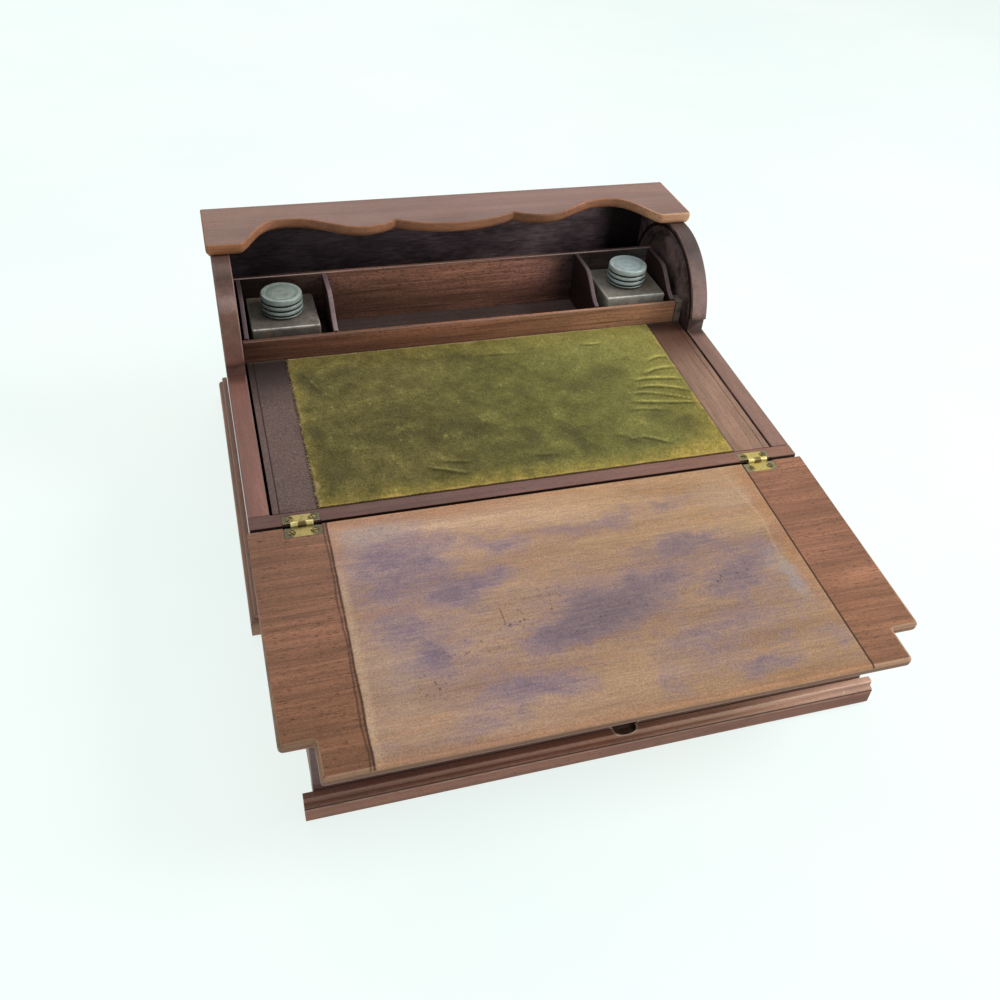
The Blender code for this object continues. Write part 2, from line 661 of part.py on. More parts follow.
# ---- drawer ----------------------------------------------------------------------------------------------------------
drawer_y = FRONT_Y - DRAWER_OUT - GAP  # front face of the drawer's front board at rest
drawer = empty("drawer_slide", 0.0, drawer_y, DRAWER_LOW)
half = DRAWER_W / 2
drawer_front = box(
    "drawer_front", (-half, drawer_y, DRAWER_LOW), (half, drawer_y + DRAWER_FRONT_T, DRAWER_HIGH)
)
face = [(drawer_y - GAP - u, 1.0 + v) for u, v in moulding_profile(MOULD_D, MOULD_H)]
drawer_moulding = prism("drawer_moulding", face, -MOULD_W / 2, MOULD_W / 2)


def scoop(name):
    bm = bmesh.new()
    bmesh.ops.create_uvsphere(bm, u_segments=16, v_segments=10, radius=NOTCH_R * MM)
    made = mesh_object(name, bm)
    made.location = (NOTCH_X * MM, (drawer_y - 0.6) * MM, NOTCH_Z * MM)
    bpy.context.view_layer.update()
    cutters.objects.link(made)
    bpy.context.view_layer.update()
    return made


add(cut(drawer_front, scoop("front_scoop")), WOOD, drawer)
add(cut(drawer_moulding, scoop("moulding_scoop")), WOOD, drawer)

box_front = drawer_y + DRAWER_FRONT_T + GAP
box_back = FRONT_Y + DRAWER_BACK_Y - DRAWER_OUT
outer, inner = half - 0.3, half - 0.3 - DRAWER_SIDE_T
floor_low, floor_high = 8.0, 11.1


def drawer_side(name, side):
    x0, x1 = span(side, inner, outer)
    return box(name, (x0, box_front, DRAWER_LOW), (x1, box_back, DRAWER_SIDE_HIGH))


both_sides("drawer_side", drawer_side, PALE_WOOD, drawer)
fit = inner - GAP
add(box("drawer_bottom", (-fit, box_front, floor_low), (fit, box_back, floor_high)), PALE_WOOD, drawer)
add(
    box("drawer_back", (-fit, box_back - 5.6, floor_high + GAP), (fit, box_back, DRAWER_SIDE_HIGH - 4.0)),
    PALE_WOOD,
    drawer,
)

# ---- roll shutter ----------------------------------------------------------------------------------------------------
roll_axis = empty("shutter_axis", 0.0, FRONT_Y + ROLL_Y, ROLL_Z)


def bent(name, inner, outer, start, end, width, steps):
    """A strip bent round the track's centre."""
    band = arc(ROLL_Y, ROLL_Z, outer, start, end, steps) + arc(ROLL_Y, ROLL_Z, inner, end, start, steps)
    return prism(name, at_front(band), -width / 2, width / 2)


tail = LEAD_ANGLE + LEAD_WIDTH + SLAT_GAP + SLATS * SLAT_PITCH - SLAT_GAP
add(bent("shutter_canvas", CANVAS_IN, CANVAS_OUT, LEAD_ANGLE, tail, 2 * SIDE_IN - 1.2, 40), CANVAS, roll_axis)
lead = bent("shutter_lead_rail", SLAT_IN, SLAT_OUT, LEAD_ANGLE, LEAD_ANGLE + LEAD_WIDTH, SHUTTER_W, 3)
grip = bent("lead_grip", SLAT_OUT - 0.6, SLAT_OUT + 2.4, LEAD_ANGLE + 2.0, LEAD_ANGLE + 6.0, 90.0, 2)
add(join(lead, grip), WOOD, roll_axis)
for number in range(SLATS):
    start = LEAD_ANGLE + LEAD_WIDTH + SLAT_GAP + number * SLAT_PITCH
    slat = bent(
        f"shutter_slat_{number + 1:02d}", SLAT_IN, SLAT_OUT, start, start + SLAT_PITCH - SLAT_GAP, SHUTTER_W, 2
    )
    add(slat, WOOD, roll_axis)

for tool in list(cutters.objects):
    as_cutter(tool)
bpy.context.view_layer.update()
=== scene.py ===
"""Looks of the lap desk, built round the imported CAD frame. Metres, +X to the writer's right, +Y to the back, +Z up."""

import json
import math
import random

import bmesh
import bpy
from mathutils import Matrix, Vector, noise


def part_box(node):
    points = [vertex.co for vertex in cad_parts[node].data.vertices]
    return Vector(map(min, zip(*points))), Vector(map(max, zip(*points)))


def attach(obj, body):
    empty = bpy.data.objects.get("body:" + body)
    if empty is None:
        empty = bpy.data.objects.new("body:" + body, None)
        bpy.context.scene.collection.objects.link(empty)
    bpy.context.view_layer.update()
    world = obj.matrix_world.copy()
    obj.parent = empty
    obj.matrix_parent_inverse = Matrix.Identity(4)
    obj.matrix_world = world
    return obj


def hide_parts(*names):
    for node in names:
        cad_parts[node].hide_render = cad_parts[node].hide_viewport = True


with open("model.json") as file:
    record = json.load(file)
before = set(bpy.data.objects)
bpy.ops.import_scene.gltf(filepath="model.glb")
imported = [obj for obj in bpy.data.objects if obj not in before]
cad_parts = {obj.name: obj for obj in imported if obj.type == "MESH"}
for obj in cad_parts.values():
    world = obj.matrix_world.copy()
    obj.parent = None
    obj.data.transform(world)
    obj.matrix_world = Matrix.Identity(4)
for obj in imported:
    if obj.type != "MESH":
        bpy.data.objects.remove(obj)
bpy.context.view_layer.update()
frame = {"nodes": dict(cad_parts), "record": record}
scene = bpy.context.scene
scene.view_settings.view_transform = "Standard"
scene.view_settings.look = "None"
NODES = frame["nodes"]
BODY_OF = {node: body for body, members in frame["record"]["behaviour"]["bodies"].items() for node in members}
MM = 0.001

# places that the materials and the added pieces share, in millimetres
FRONT_Y = -125.0
HINGE_Z = 77.9
RISE, FALL = math.radians(2.61), math.radians(4.31)
AXIS_Y, AXIS_Z = -126.2, 78.5


def panel_z(y):
    """Height of the writing surface, millimetres."""
    return HINGE_Z + (y - FRONT_Y) * math.tan(RISE)


def srgb(r, g, b):
    """A colour as a picture shows it, from 0 to 255, made linear."""
    out = []
    for c in (r, g, b):
        c /= 255.0
        out.append(c / 12.92 if c <= 0.04045 else ((c + 0.055) / 1.055) ** 2.4)
    return (*out, 1.0)


# ---- materials -------------------------------------------------------------------------------------------------------
class Look:
    """A node material under construction. Places are the object's own, which are the desk's at rest."""

    def __init__(self, name):
        self.mat = bpy.data.materials.new(name)
        self.mat.use_nodes = True
        self.tree = self.mat.node_tree
        self.tree.nodes.clear()
        self.out = self.tree.nodes.new("ShaderNodeOutputMaterial")
        self.shader = self.tree.nodes.new("ShaderNodeBsdfPrincipled")
        self.tree.links.new(self.shader.outputs[0], self.out.inputs["Surface"])
        coords = self.tree.nodes.new("ShaderNodeTexCoord")
        self.place, self.facing = coords.outputs["Object"], coords.outputs["Normal"]

    def put(self, socket, value):
        if isinstance(value, bpy.types.NodeSocket):
            self.tree.links.new(value, socket)
        elif value is not None:
            if hasattr(socket.default_value, "__len__") and not hasattr(value, "__len__"):
                value = (value, value, value, 1.0)[: len(socket.default_value)]
            socket.default_value = value

    def node(self, kind, **props):
        made = self.tree.nodes.new(kind)
        for key, value in props.items():
            setattr(made, key, value)
        return made

    def scaled(self, scale, loc=(0, 0, 0), rot=(0, 0, 0), vec=None):
        made = self.node("ShaderNodeMapping")
        self.put(made.inputs["Vector"], vec or self.place)
        made.inputs["Location"].default_value = loc
        made.inputs["Rotation"].default_value = rot
        made.inputs["Scale"].default_value = scale
        return made.outputs[0]

    def noise(self, vec, scale, detail=2.0, rough=0.5, distort=0.0):
        made = self.node("ShaderNodeTexNoise")
        self.put(made.inputs["Vector"], vec)
        made.inputs["Scale"].default_value = scale
        made.inputs["Detail"].default_value = detail
        made.inputs["Roughness"].default_value = rough
        made.inputs["Distortion"].default_value = distort
        return made.outputs[0]

    def cells(self, vec, scale, feature="F1", output="Distance"):
        made = self.node("ShaderNodeTexVoronoi", feature=feature)
        self.put(made.inputs["Vector"], vec)
        made.inputs["Scale"].default_value = scale
        return made.outputs[output]

    def ramp(self, fac, stops):
        made = self.node("ShaderNodeValToRGB")
        self.put(made.inputs[0], fac)
        band = made.color_ramp
        while len(band.elements) < len(stops):
            band.elements.new(0.5)
        for element, (at, colour) in zip(band.elements, stops):
            element.position = at
            element.color = colour
        return made.outputs[0]

    def fit(self, value, low, high, to_low=0.0, to_high=1.0, smooth=True):
        made = self.node("ShaderNodeMapRange", interpolation_type="SMOOTHSTEP" if smooth else "LINEAR")
        self.put(made.inputs["Value"], value)
        for key, number in (("From Min", low), ("From Max", high), ("To Min", to_low), ("To Max", to_high)):
            self.put(made.inputs[key], number)
        return made.outputs[0]

    def math(self, operation, a, b=None, clamp=False):
        made = self.node("ShaderNodeMath", operation=operation, use_clamp=clamp)
        self.put(made.inputs[0], a)
        self.put(made.inputs[1], b)
        return made.outputs[0]

    def mix(self, fac, a, b, blend="MIX"):
        made = self.node("ShaderNodeMix", data_type="RGBA", blend_type=blend)
        self.put(made.inputs[0], fac)
        self.put(made.inputs[6], a)
        self.put(made.inputs[7], b)
        return made.outputs[2]

    def times(self, colour, value):
        return self.mix(1.0, colour, value, "MULTIPLY")

    def xyz(self, vec=None):
        made = self.node("ShaderNodeSeparateXYZ")
        self.put(made.inputs[0], vec or self.place)
        return made.outputs

    def shifted(self, amount, scale, detail=2.0):
        """The place, pushed about by noise, for edges that wander."""
        wander = self.node("ShaderNodeTexNoise")
        self.put(wander.inputs["Vector"], self.place)
        wander.inputs["Scale"].default_value = scale
        wander.inputs["Detail"].default_value = detail
        centred = self.node("ShaderNodeVectorMath", operation="SUBTRACT")
        self.put(centred.inputs[0], wander.outputs["Color"])
        centred.inputs[1].default_value = (0.5, 0.5, 0.5)
        sized = self.node("ShaderNodeVectorMath", operation="SCALE")
        self.put(sized.inputs[0], centred.outputs[0])
        sized.inputs["Scale"].default_value = amount
        added = self.node("ShaderNodeVectorMath", operation="ADD")
        self.put(added.inputs[0], self.place)
        self.put(added.inputs[1], sized.outputs[0])
        return added.outputs[0]

    def spot(self, vec, x, y, wide, deep, turn=0.0, strength=1.0):
        """Full strength in the middle of an ellipse on the plan, falling softly to 0 at its edge. Millimetres."""
        made = self.node("ShaderNodeMapping", vector_type="TEXTURE")
        self.put(made.inputs["Vector"], vec)
        made.inputs["Location"].default_value = (x * MM, y * MM, 0.0)
        made.inputs["Rotation"].default_value = (0.0, 0.0, turn)
        made.inputs["Scale"].default_value = (wide * MM, deep * MM, 1000.0)
        length = self.node("ShaderNodeVectorMath", operation="LENGTH")
        self.put(length.inputs[0], made.outputs[0])
        return self.fit(length.outputs["Value"], 0.2, 1.0, strength, 0.0)

    def line(self, value, at, half, soft):
        """1 within half of a place along one axis, falling to 0 over soft."""
        away = self.math("ABSOLUTE", self.math("SUBTRACT", value, at))
        return self.fit(away, half, half + soft, 1.0, 0.0)

    def all_of(self, parts, operation="MAXIMUM"):
        total = parts[0]
        for part in parts[1:]:
            total = self.math(operation, total, part)
        return total

    def bump(self, height, strength, distance):
        made = self.node("ShaderNodeBump")
        made.inputs["Strength"].default_value = strength
        made.inputs["Distance"].default_value = distance
        self.put(made.inputs["Height"], height)
        self.put(self.shader.inputs["Normal"], made.outputs[0])

    def done(self, colour=None, rough=None, metal=None, **sockets):
        self.put(self.shader.inputs["Base Color"], colour)
        self.put(self.shader.inputs["Roughness"], rough)
        self.put(self.shader.inputs["Metallic"], metal)
        for key, value in sockets.items():
            self.put(self.shader.inputs[key.replace("_", " ")], value)
        return self.mat


STRETCH = {"X": (1.0, 13.0, 13.0), "Y": (13.0, 1.0, 13.0), "Z": (13.0, 13.0, 1.0)}


def wood_layers(look, dark, mid, light, along, seed, streak, pore, blotch, grain):
    """Colour, pore mask and streaks of a figured hardwood whose grain runs along one axis."""
    stretch = STRETCH[along]
    shift = (seed * 0.37, seed * 0.71 + 0.2, seed * 0.53 + 0.1)
    tone = look.noise(look.scaled(stretch, shift), 5.0, 5.0, 0.62, 0.35)
    colour = look.ramp(tone, [(0.30, dark), (0.50, mid), (0.70, light)])
    lines = look.noise(look.scaled(tuple(3.0 * c if c > 1 else c for c in stretch), shift), 18.0, 4.0, 0.65)
    colour = look.times(colour, look.fit(lines, 0.3, 0.7, 1.0 - streak, 1.0 + 0.6 * streak, False))
    patches = look.noise(look.scaled((1, 1, 1), shift), 11.0, 3.0, 0.55)
    colour = look.times(colour, look.fit(patches, 0.3, 0.7, 1.0 - blotch, 1.0 + 0.7 * blotch, False))
    # short dark vessels along the grain, closer together in some bands than in others
    fine = look.noise(look.scaled(tuple(0.55 * c if c > 1 else c for c in stretch), shift), 270.0, 2.0, 0.55)
    bands = look.fit(tone, 0.35, 0.65, 0.62, 0.56, False)
    pores = look.fit(fine, bands, look.math("ADD", bands, 0.10))
    colour = look.mix(look.math("MULTIPLY", pores, pore), colour, look.times(dark, 0.32))
    specks = look.noise(look.scaled((1, 1, 1), shift), 1150.0, 2.0, 0.7)
    colour = look.times(colour, look.fit(specks, 0.25, 0.75, 1.0 - grain, 1.0 + grain, False))
    return colour, pores, tone, lines, patches


def wood(
    name,
    dark,
    mid,
    light,
    along="X",
    seed=0.0,
    streak=0.22,
    pore=0.5,
    blotch=0.14,
    rough=(0.42, 0.58),
    specks=0.0,
    dust=None,
    bump=0.25,
    grain=0.16,
    paint=None,
    specular=0.2,
):
    """Polished old hardwood. paint may change the finished colour by place."""
    look = Look(name)
    colour, pores, tone, lines, patches = wood_layers(look, dark, mid, light, along, seed, streak, pore, blotch, grain)
    rub = look.noise(look.place, 38.0, 4.0, 0.6)
    roughness = look.fit(rub, 0.32, 0.68, *rough, False)
    if dust:
        amount, tint = dust
        film = look.math("MULTIPLY", look.fit(look.noise(look.place, 900.0, 2.0, 0.7), 0.45, 0.7), look.fit(look.noise(look.place, 26.0, 4.0, 0.6), 0.3, 0.65, 0.35, 1.0))
        colour = look.mix(look.math("MULTIPLY", film, amount), colour, tint)
        roughness = look.math("ADD", roughness, look.math("MULTIPLY", film, 0.2), True)
    if specks:
        dots = look.cells(look.place, 210.0)
        rare = look.noise(look.place, 60.0, 1.0)
        mask = look.math("MULTIPLY", look.fit(dots, 0.03, 0.075, 1.0, 0.0), look.fit(rare, 0.55, 0.62))
        colour = look.mix(look.math("MULTIPLY", mask, specks), colour, srgb(205, 190, 180))
    if paint:
        colour, roughness = paint(look, colour, roughness)
    height = look.math("SUBTRACT", look.math("MULTIPLY", lines, 0.35), pores)
    look.bump(height, bump, 0.00025)
    return look.done(colour, roughness, Specular_IOR_Level=specular)


def tones(r, g, b, spread=0.16, warm=0.0):
    """Three tones about a colour: darker, itself and lighter."""
    down, up = 1.0 - spread, 1.0 + spread
    return (
        srgb(r * down, g * down - warm, b * down - warm),
        srgb(r, g, b),
        srgb(min(255, r * up), min(255, g * up), min(255, b * up)),
    )


def metal(name, clean, dirty, rough=(0.3, 0.55), grime=0.55, scale=90.0, metallic=1.0, turned=None, bump=0.2):
    """Old bare metal: dirty in patches, with fine scratches, and bright where it is rubbed."""
    look = Look(name)
    cloud = look.noise(look.place, scale, 5.0, 0.65)
    fine = look.noise(look.place, scale * 9.0, 3.0, 0.6)
    mask = look.fit(look.math("ADD", look.math("MULTIPLY", cloud, 0.75), look.math("MULTIPLY", fine, 0.25)), 0.36, 0.64)
    colour = look.mix(look.math("MULTIPLY", mask, grime), clean, dirty)
    scratches = look.noise(look.scaled((1.0, 18.0, 6.0), rot=(0.0, 0.0, 0.5)), 260.0, 2.0, 0.5)
    colour = look.times(colour, look.fit(scratches, 0.3, 0.7, 0.86, 1.12, False))
    roughness = look.fit(look.math("ADD", mask, look.math("MULTIPLY", fine, 0.4)), 0.2, 1.2, *rough, False)
    height = look.math("ADD", look.math("MULTIPLY", fine, 0.4), look.math("MULTIPLY", scratches, 0.4))
    look.bump(height, bump, 0.00012)
    return look.done(colour, roughness, metallic)


def graded(left, right, low=-0.15, high=0.15):
    """A paint that tints the wood from one end of the desk to the other."""

    def paint(look, colour, roughness):
        x = look.xyz()[0]
        tint = look.mix(look.fit(x, low, high, 0.0, 1.0, False), (*left, 1.0), (*right, 1.0))
        return look.times(colour, tint), roughness

    return paint


def stepped(stops, reach=160.0):
    """A paint that tints the wood by steps along the desk: (place in millimetres, tint) from left to right."""

    def paint(look, colour, roughness):
        along = look.fit(look.xyz()[0], -reach * MM, reach * MM, 0.0, 1.0, False)
        band = [((at + reach) / (2 * reach), (*tint, 1.0)) for at, tint in stops]
        return look.times(colour, look.ramp(along, band)), roughness

    return paint


def nose_paint(look, colour, roughness):
    """The top board's front: painted light at the right end, a little warmer at the left end, and painted shade where
    it looks to the left.
    """
    x = look.xyz()[0]
    colour = look.times(colour, look.mix(look.fit(x, 0.122, 0.150), (1.0, 1.0, 1.0, 1.0), (2.15, 2.6, 2.75, 1.0)))
    colour = look.times(colour, look.mix(look.fit(x, -0.160, -0.130), (1.0, 0.95, 0.8, 1.0), (1.0, 1.0, 1.0, 1.0)))
    away = look.fit(look.xyz(look.facing)[0], -0.8, -0.35, 0.84, 1.0)
    return look.times(colour, away), roughness


def notch_marks(look, colour):
    """The drawer's finger notch: painted shade in the hollow, darkest at its right side, with a rubbed lip round it."""
    away = look.node("ShaderNodeVectorMath", operation="DISTANCE")
    look.put(away.inputs[0], look.place)
    away.inputs[1].default_value = (0.010, -0.2560, 0.0225)
    away = away.outputs["Value"]
    lip = look.math("MULTIPLY", look.line(away, 0.0097, 0.0003, 0.0004), look.fit(look.noise(look.place, 300.0, 3.0), 0.3, 0.6, 0.5, 1.0))
    lip = look.math("MULTIPLY", lip, look.fit(look.xyz()[2], 0.0165, 0.0185, 1.0, 0.15))
    colour = look.mix(look.math("MULTIPLY", lip, 0.75), colour, srgb(206, 180, 162))
    # painted shade in the hollow, darker towards its right side
    hollow = look.mix(look.fit(look.xyz()[0], 0.0125, 0.0155), srgb(98, 74, 64), srgb(16, 11, 10))
    return look.mix(look.fit(away, 0.00915, 0.00935, 0.95, 0.0), colour, hollow)


def mould_paint(look, colour, roughness):
    """The drawer's moulding: painted light on its upper fillet, much stronger towards the right, with a painted
    highlight line and a painted shadow line where it steps.
    """
    x, y, z = look.xyz()
    upper = look.fit(z, 0.0106, 0.0110)
    low = look.ramp(look.fit(x, -0.10, 0.15, 0.0, 1.0, False), [(0.0, (1.03, 0.97, 0.94, 1.0)), (0.5, (1.10, 1.05, 1.03, 1.0)), (1.0, (1.03, 0.86, 0.79, 1.0))])
    high = look.ramp(look.fit(x, -0.16, 0.16, 0.0, 1.0, False), [(0.1, (1.05, 1.12, 1.2, 1.0)), (0.5, (1.3, 1.4, 1.4, 1.0)), (0.75, (2.45, 3.2, 3.4, 1.0)), (0.95, (2.6, 3.4, 3.7, 1.0))])
    colour = look.times(colour, look.mix(upper, low, high))
    # a painted highlight line broken by noise, and just above it a painted shadow line where the fillet steps
    worn = look.fit(look.noise(look.place, 140.0, 3.0, 0.6), 0.35, 0.6, 0.35, 1.0)
    colour = look.mix(look.math("MULTIPLY", look.math("MULTIPLY", look.line(z, 0.0099, 0.0003, 0.0004), worn), 0.5), colour, srgb(186, 152, 132))
    colour = look.mix(look.math("MULTIPLY", look.line(z, 0.0109, 0.0002, 0.0003), 0.8), colour, srgb(46, 31, 27))
    return notch_marks(look, colour), roughness


def face_paint(look, colour, roughness):
    """The drawer's front above the moulding: painted light, stronger to the right."""
    across = look.fit(look.xyz()[0], -0.11, 0.13, 0.0, 1.0, False)
    colour = look.times(colour, look.mix(across, (1.15, 1.32, 1.58, 1.0), (1.8, 2.15, 2.2, 1.0)))
    return notch_marks(look, colour), roughness


# tints of the curved rims by height: painted light and shade with a painted highlight band, from 85 to 145 mm, and the
# painted shade inside the side boards
RIM_LIGHT_AND_SHADE = {
    -1: [(0.0, (0.9, 0.9, 0.9)), (0.30, (0.75, 0.76, 0.77)), (0.52, (0.79, 0.91, 0.89)), (0.64, (0.86, 0.97, 0.97)), (0.70, (1.3, 1.8, 2.05)), (0.75, (1.55, 2.25, 2.6)), (0.80, (1.0, 1.3, 1.45)), (0.87, (0.47, 0.55, 0.58)), (0.94, (0.70, 0.92, 0.95))],
    1: [(0.0, (1.0, 1.0, 1.05)), (0.1, (1.0, 1.05, 1.1)), (0.33, (1.2, 1.4, 1.65)), (0.52, (1.06, 1.2, 1.38)), (0.70, (0.58, 0.66, 0.79)), (0.83, (0.40, 0.50, 0.63)), (0.94, (0.44, 0.53, 0.62))],
}
SHADE_INSIDE = {-1: (srgb(30, 23, 23), srgb(62, 49, 49)), 1: (srgb(56, 46, 46), srgb(126, 106, 105))}


def side_paint(side):
    """A side board's skin: warm outside, painted light and shade on the rim by height, painted shade inside, a painted
    shadow line along the rim inside, and painted shade in the foot of the curve.
    """

    def paint(look, colour, roughness):
        x, y, z = look.xyz()
        across = look.xyz(look.facing)[0]
        inward = look.fit(look.math("MULTIPLY", across, float(-side)), 0.3, 0.8)
        cloud = look.noise(look.place, 60.0, 4.0, 0.65)
        uneven = look.math("ADD", z, look.fit(cloud, 0.3, 0.7, -0.0015, 0.0015, False))
        tint = look.ramp(look.fit(uneven, 0.085, 0.145, 0.0, 1.0, False), [(at, (*c, 1.0)) for at, c in RIM_LIGHT_AND_SHADE[side]])
        curved = look.math("MULTIPLY", look.fit(y, 0.010, 0.020), look.fit(look.math("ABSOLUTE", across), 0.5, 0.8, 1.0, 0.0))
        colour = look.times(colour, look.mix(curved, (1.0, 1.0, 1.0, 1.0), tint))
        # painted shade on the inner faces, lighter on the right board, streaked
        inside_shade = look.mix(look.fit(cloud, 0.35, 0.68), *SHADE_INSIDE[side])
        streaks = look.noise(look.scaled((3.0, 9.0, 1.0)), 60.0, 4.0, 0.7)
        inside_shade = look.times(inside_shade, look.fit(streaks, 0.3, 0.7, 0.62, 1.38, False))
        colour = look.mix(look.math("MULTIPLY", inward, 0.94), colour, inside_shade)
        # a painted shadow line, near black, follows the rim inside
        dy, dz = look.math("SUBTRACT", y, 0.071), look.math("SUBTRACT", z, 0.0865)
        away = look.math("SQRT", look.math("ADD", look.math("MULTIPLY", dy, dy), look.math("MULTIPLY", dz, dz)))
        seam_shadow = look.math("MULTIPLY", inward, look.line(away, 0.0520, 0.0009, 0.0008))
        colour = look.mix(look.math("MULTIPLY", seam_shadow, 0.92), colour, srgb(7, 5, 5))
        # painted shade in the recessed foot of the curve
        above = look.math("SUBTRACT", z, look.fit(y, -0.125, 0.075, 0.0779, 0.0870, False))
        foot = look.math("MULTIPLY", look.fit(y, 0.008, 0.016), look.fit(above, 0.0075, 0.0125, 1.0, 0.0))
        foot = look.math("MULTIPLY", foot, look.fit(look.math("MULTIPLY", across, float(side)), 0.3, 0.8, 1.0, 0.0))
        colour = look.mix(look.math("MULTIPLY", foot, 0.44 if side < 0 else 0.72), colour, srgb(44, 31, 29))
        return colour, look.math("ADD", roughness, look.math("MULTIPLY", inward, 0.2), True)

    return paint


def rail_paint(look, colour, roughness):
    """The front rail: purplish on the left, warmer on the right, and painted shadow, near black, on its front face
    where the flap closes on it.
    """
    x = look.xyz()[0]
    tint = look.ramp(look.fit(x, -0.16, 0.16, 0.0, 1.0, False), [(0.05, (0.76, 0.76, 0.80, 1.0)), (0.5, (0.86, 0.90, 1.0, 1.0)), (0.95, (1.42, 1.5, 1.36, 1.0))])
    colour = look.times(colour, tint)
    # painted shadow on the upper front face, where the flap closes over it
    ahead = look.fit(look.xyz(look.facing)[1], -0.85, -0.5, 1.0, 0.0)
    ahead = look.math("MULTIPLY", ahead, look.fit(look.xyz()[2], 0.0705, 0.0738, 0.12, 1.0))
    return look.mix(look.math("MULTIPLY", ahead, 0.9), colour, srgb(20, 13, 12)), roughness


def panel_paint(look, colour, roughness):
    """The panel's margins: dark and dusty on the left, redder and rubbed on the right, darker beside the tray, with
    painted shade in the back right corner and painted shadow lines along the velvet's sides.
    """
    x, y, z = look.xyz()
    left = look.fit(x, -0.05, 0.05, 1.0, 0.0)
    grain = look.noise(look.place, 950.0, 2.0, 0.75)
    cloud = look.noise(look.place, 30.0, 4.0, 0.6)
    dusk = look.mix(look.fit(grain, 0.36, 0.70), srgb(80, 62, 58), srgb(117, 95, 90))
    dusk = look.times(dusk, look.fit(cloud, 0.3, 0.7, 0.88, 1.10, False))
    colour = look.mix(look.math("MULTIPLY", left, 0.92), colour, dusk)
    wander = look.math("MULTIPLY", look.math("SUBTRACT", look.noise(look.place, 45.0, 3.0), 0.5), 0.024)
    near = look.math("ADD", y, wander)
    # darker towards the back on the left beside the tray, and painted shade in the back right corner by the side board;
    # redder to the right
    tray = look.math("MULTIPLY", look.fit(near, -0.022, 0.020), look.fit(x, -0.05, 0.05, 1.0, 0.0))
    corner = look.math("MULTIPLY", look.fit(near, 0.010, 0.030), look.fit(look.math("ADD", x, wander), 0.134, 0.150, 1.0, 0.15))
    dirt = look.math("MAXIMUM", tray, look.math("MULTIPLY", corner, look.fit(x, 0.12, 0.13, 0.0, 0.85)))
    red = look.math("MULTIPLY", look.fit(near, -0.040, 0.024), look.fit(x, 0.05, 0.12))
    colour = look.mix(look.math("MULTIPLY", red, 0.9), colour, srgb(82, 53, 40))
    colour = look.mix(look.math("MULTIPLY", dirt, 0.88), colour, srgb(47, 38, 37))
    grit = look.math("MULTIPLY", look.line(y, 0.0335, 0.0008, 0.0035), look.fit(grain, 0.35, 0.65, 0.3, 1.0))
    colour = look.mix(look.math("MULTIPLY", grit, 0.55), colour, srgb(112, 102, 92))
    joint = look.line(look.math("ABSOLUTE", x), 0.15225, 0.0002, 0.0006)
    colour = look.mix(look.math("MULTIPLY", joint, look.fit(x, -0.05, 0.05, 0.55, 0.1)), colour, srgb(58, 42, 38))
    # painted shadow lines along the velvet's sides
    beside = look.line(look.math("ABSOLUTE", x), 0.1309, 0.0004, 0.0008)
    colour = look.mix(look.math("MULTIPLY", beside, 0.6), colour, srgb(54, 40, 32))
    return colour, look.math("ADD", roughness, look.math("MULTIPLY", left, 0.12), True)


def edge_paint(look, colour, roughness):
    """Rubbed tops of the tray's dividers: paler in front and on the left one, darker towards the back and at the far
    left end, paler at the right end.
    """
    x, y, z = look.xyz()
    colour = look.times(colour, look.fit(x, -0.10, 0.09, 1.6, 0.82))
    colour = look.times(colour, look.fit(y, 0.042, 0.080, 1.15, 0.55))
    colour = look.times(colour, look.fit(x, 0.12, 0.145, 1.0, 1.45))
    return look.times(colour, look.fit(x, -0.151, -0.148, 0.5, 1.0)), roughness


def inside_paint(look, colour, roughness):
    """The back board inside: painted shade, nearly black, a little lighter to the right, with a painted shadow of the
    right side board at its right end; plain brown behind.
    """
    x = look.xyz()[0]
    ahead = look.fit(look.xyz(look.facing)[1], -0.8, -0.4, 1.0, 0.0)
    cloud = look.noise(look.scaled((1.0, 1.0, 2.2)), 34.0, 4.0, 0.65)
    lines = look.noise(look.scaled((1.0, 9.0, 9.0)), 90.0, 4.0, 0.7)
    # painted shade on the inner face, with the right side board's painted shadow at the right end
    inside_shade = look.mix(look.fit(x, -0.12, 0.10), srgb(70, 60, 64), srgb(123, 104, 109))
    inside_shade = look.times(inside_shade, look.fit(x, 0.116, 0.134, 1.0, 0.05))
    inside_shade = look.times(inside_shade, look.fit(cloud, 0.3, 0.7, 0.5, 1.55, False))
    inside_shade = look.times(inside_shade, look.fit(lines, 0.3, 0.7, 0.45, 1.6, False))
    return look.mix(look.math("MULTIPLY", ahead, 0.95), colour, inside_shade), roughness


def floor_paint(look, colour, roughness):
    """The tray's floor: dusty in the middle, darker to the left and painted light on its right part, with a grey smear.
    """
    x, y, z = look.xyz()
    colour = look.times(colour, look.mix(look.fit(x, 0.02, 0.07), (0.80, 0.84, 0.89, 1.0), (1.5, 1.6, 1.75, 1.0)))
    smear = look.spot(look.shifted(0.012, 90.0), 66, 52, 26, 9, 0.1)
    return look.mix(look.math("MULTIPLY", smear, 0.45), colour, srgb(96, 90, 90)), roughness


def well_paint(look, colour, roughness):
    """The tray's end on the right finishes in a small block, grey with dust."""
    x, y, z = look.xyz()
    block = look.math("MULTIPLY", look.fit(x, 0.1526, 0.1532), look.fit(look.noise(look.place, 160.0, 3.0), 0.3, 0.65, 0.5, 1.0))
    return look.mix(look.math("MULTIPLY", block, 0.85), colour, srgb(150, 138, 122)), roughness


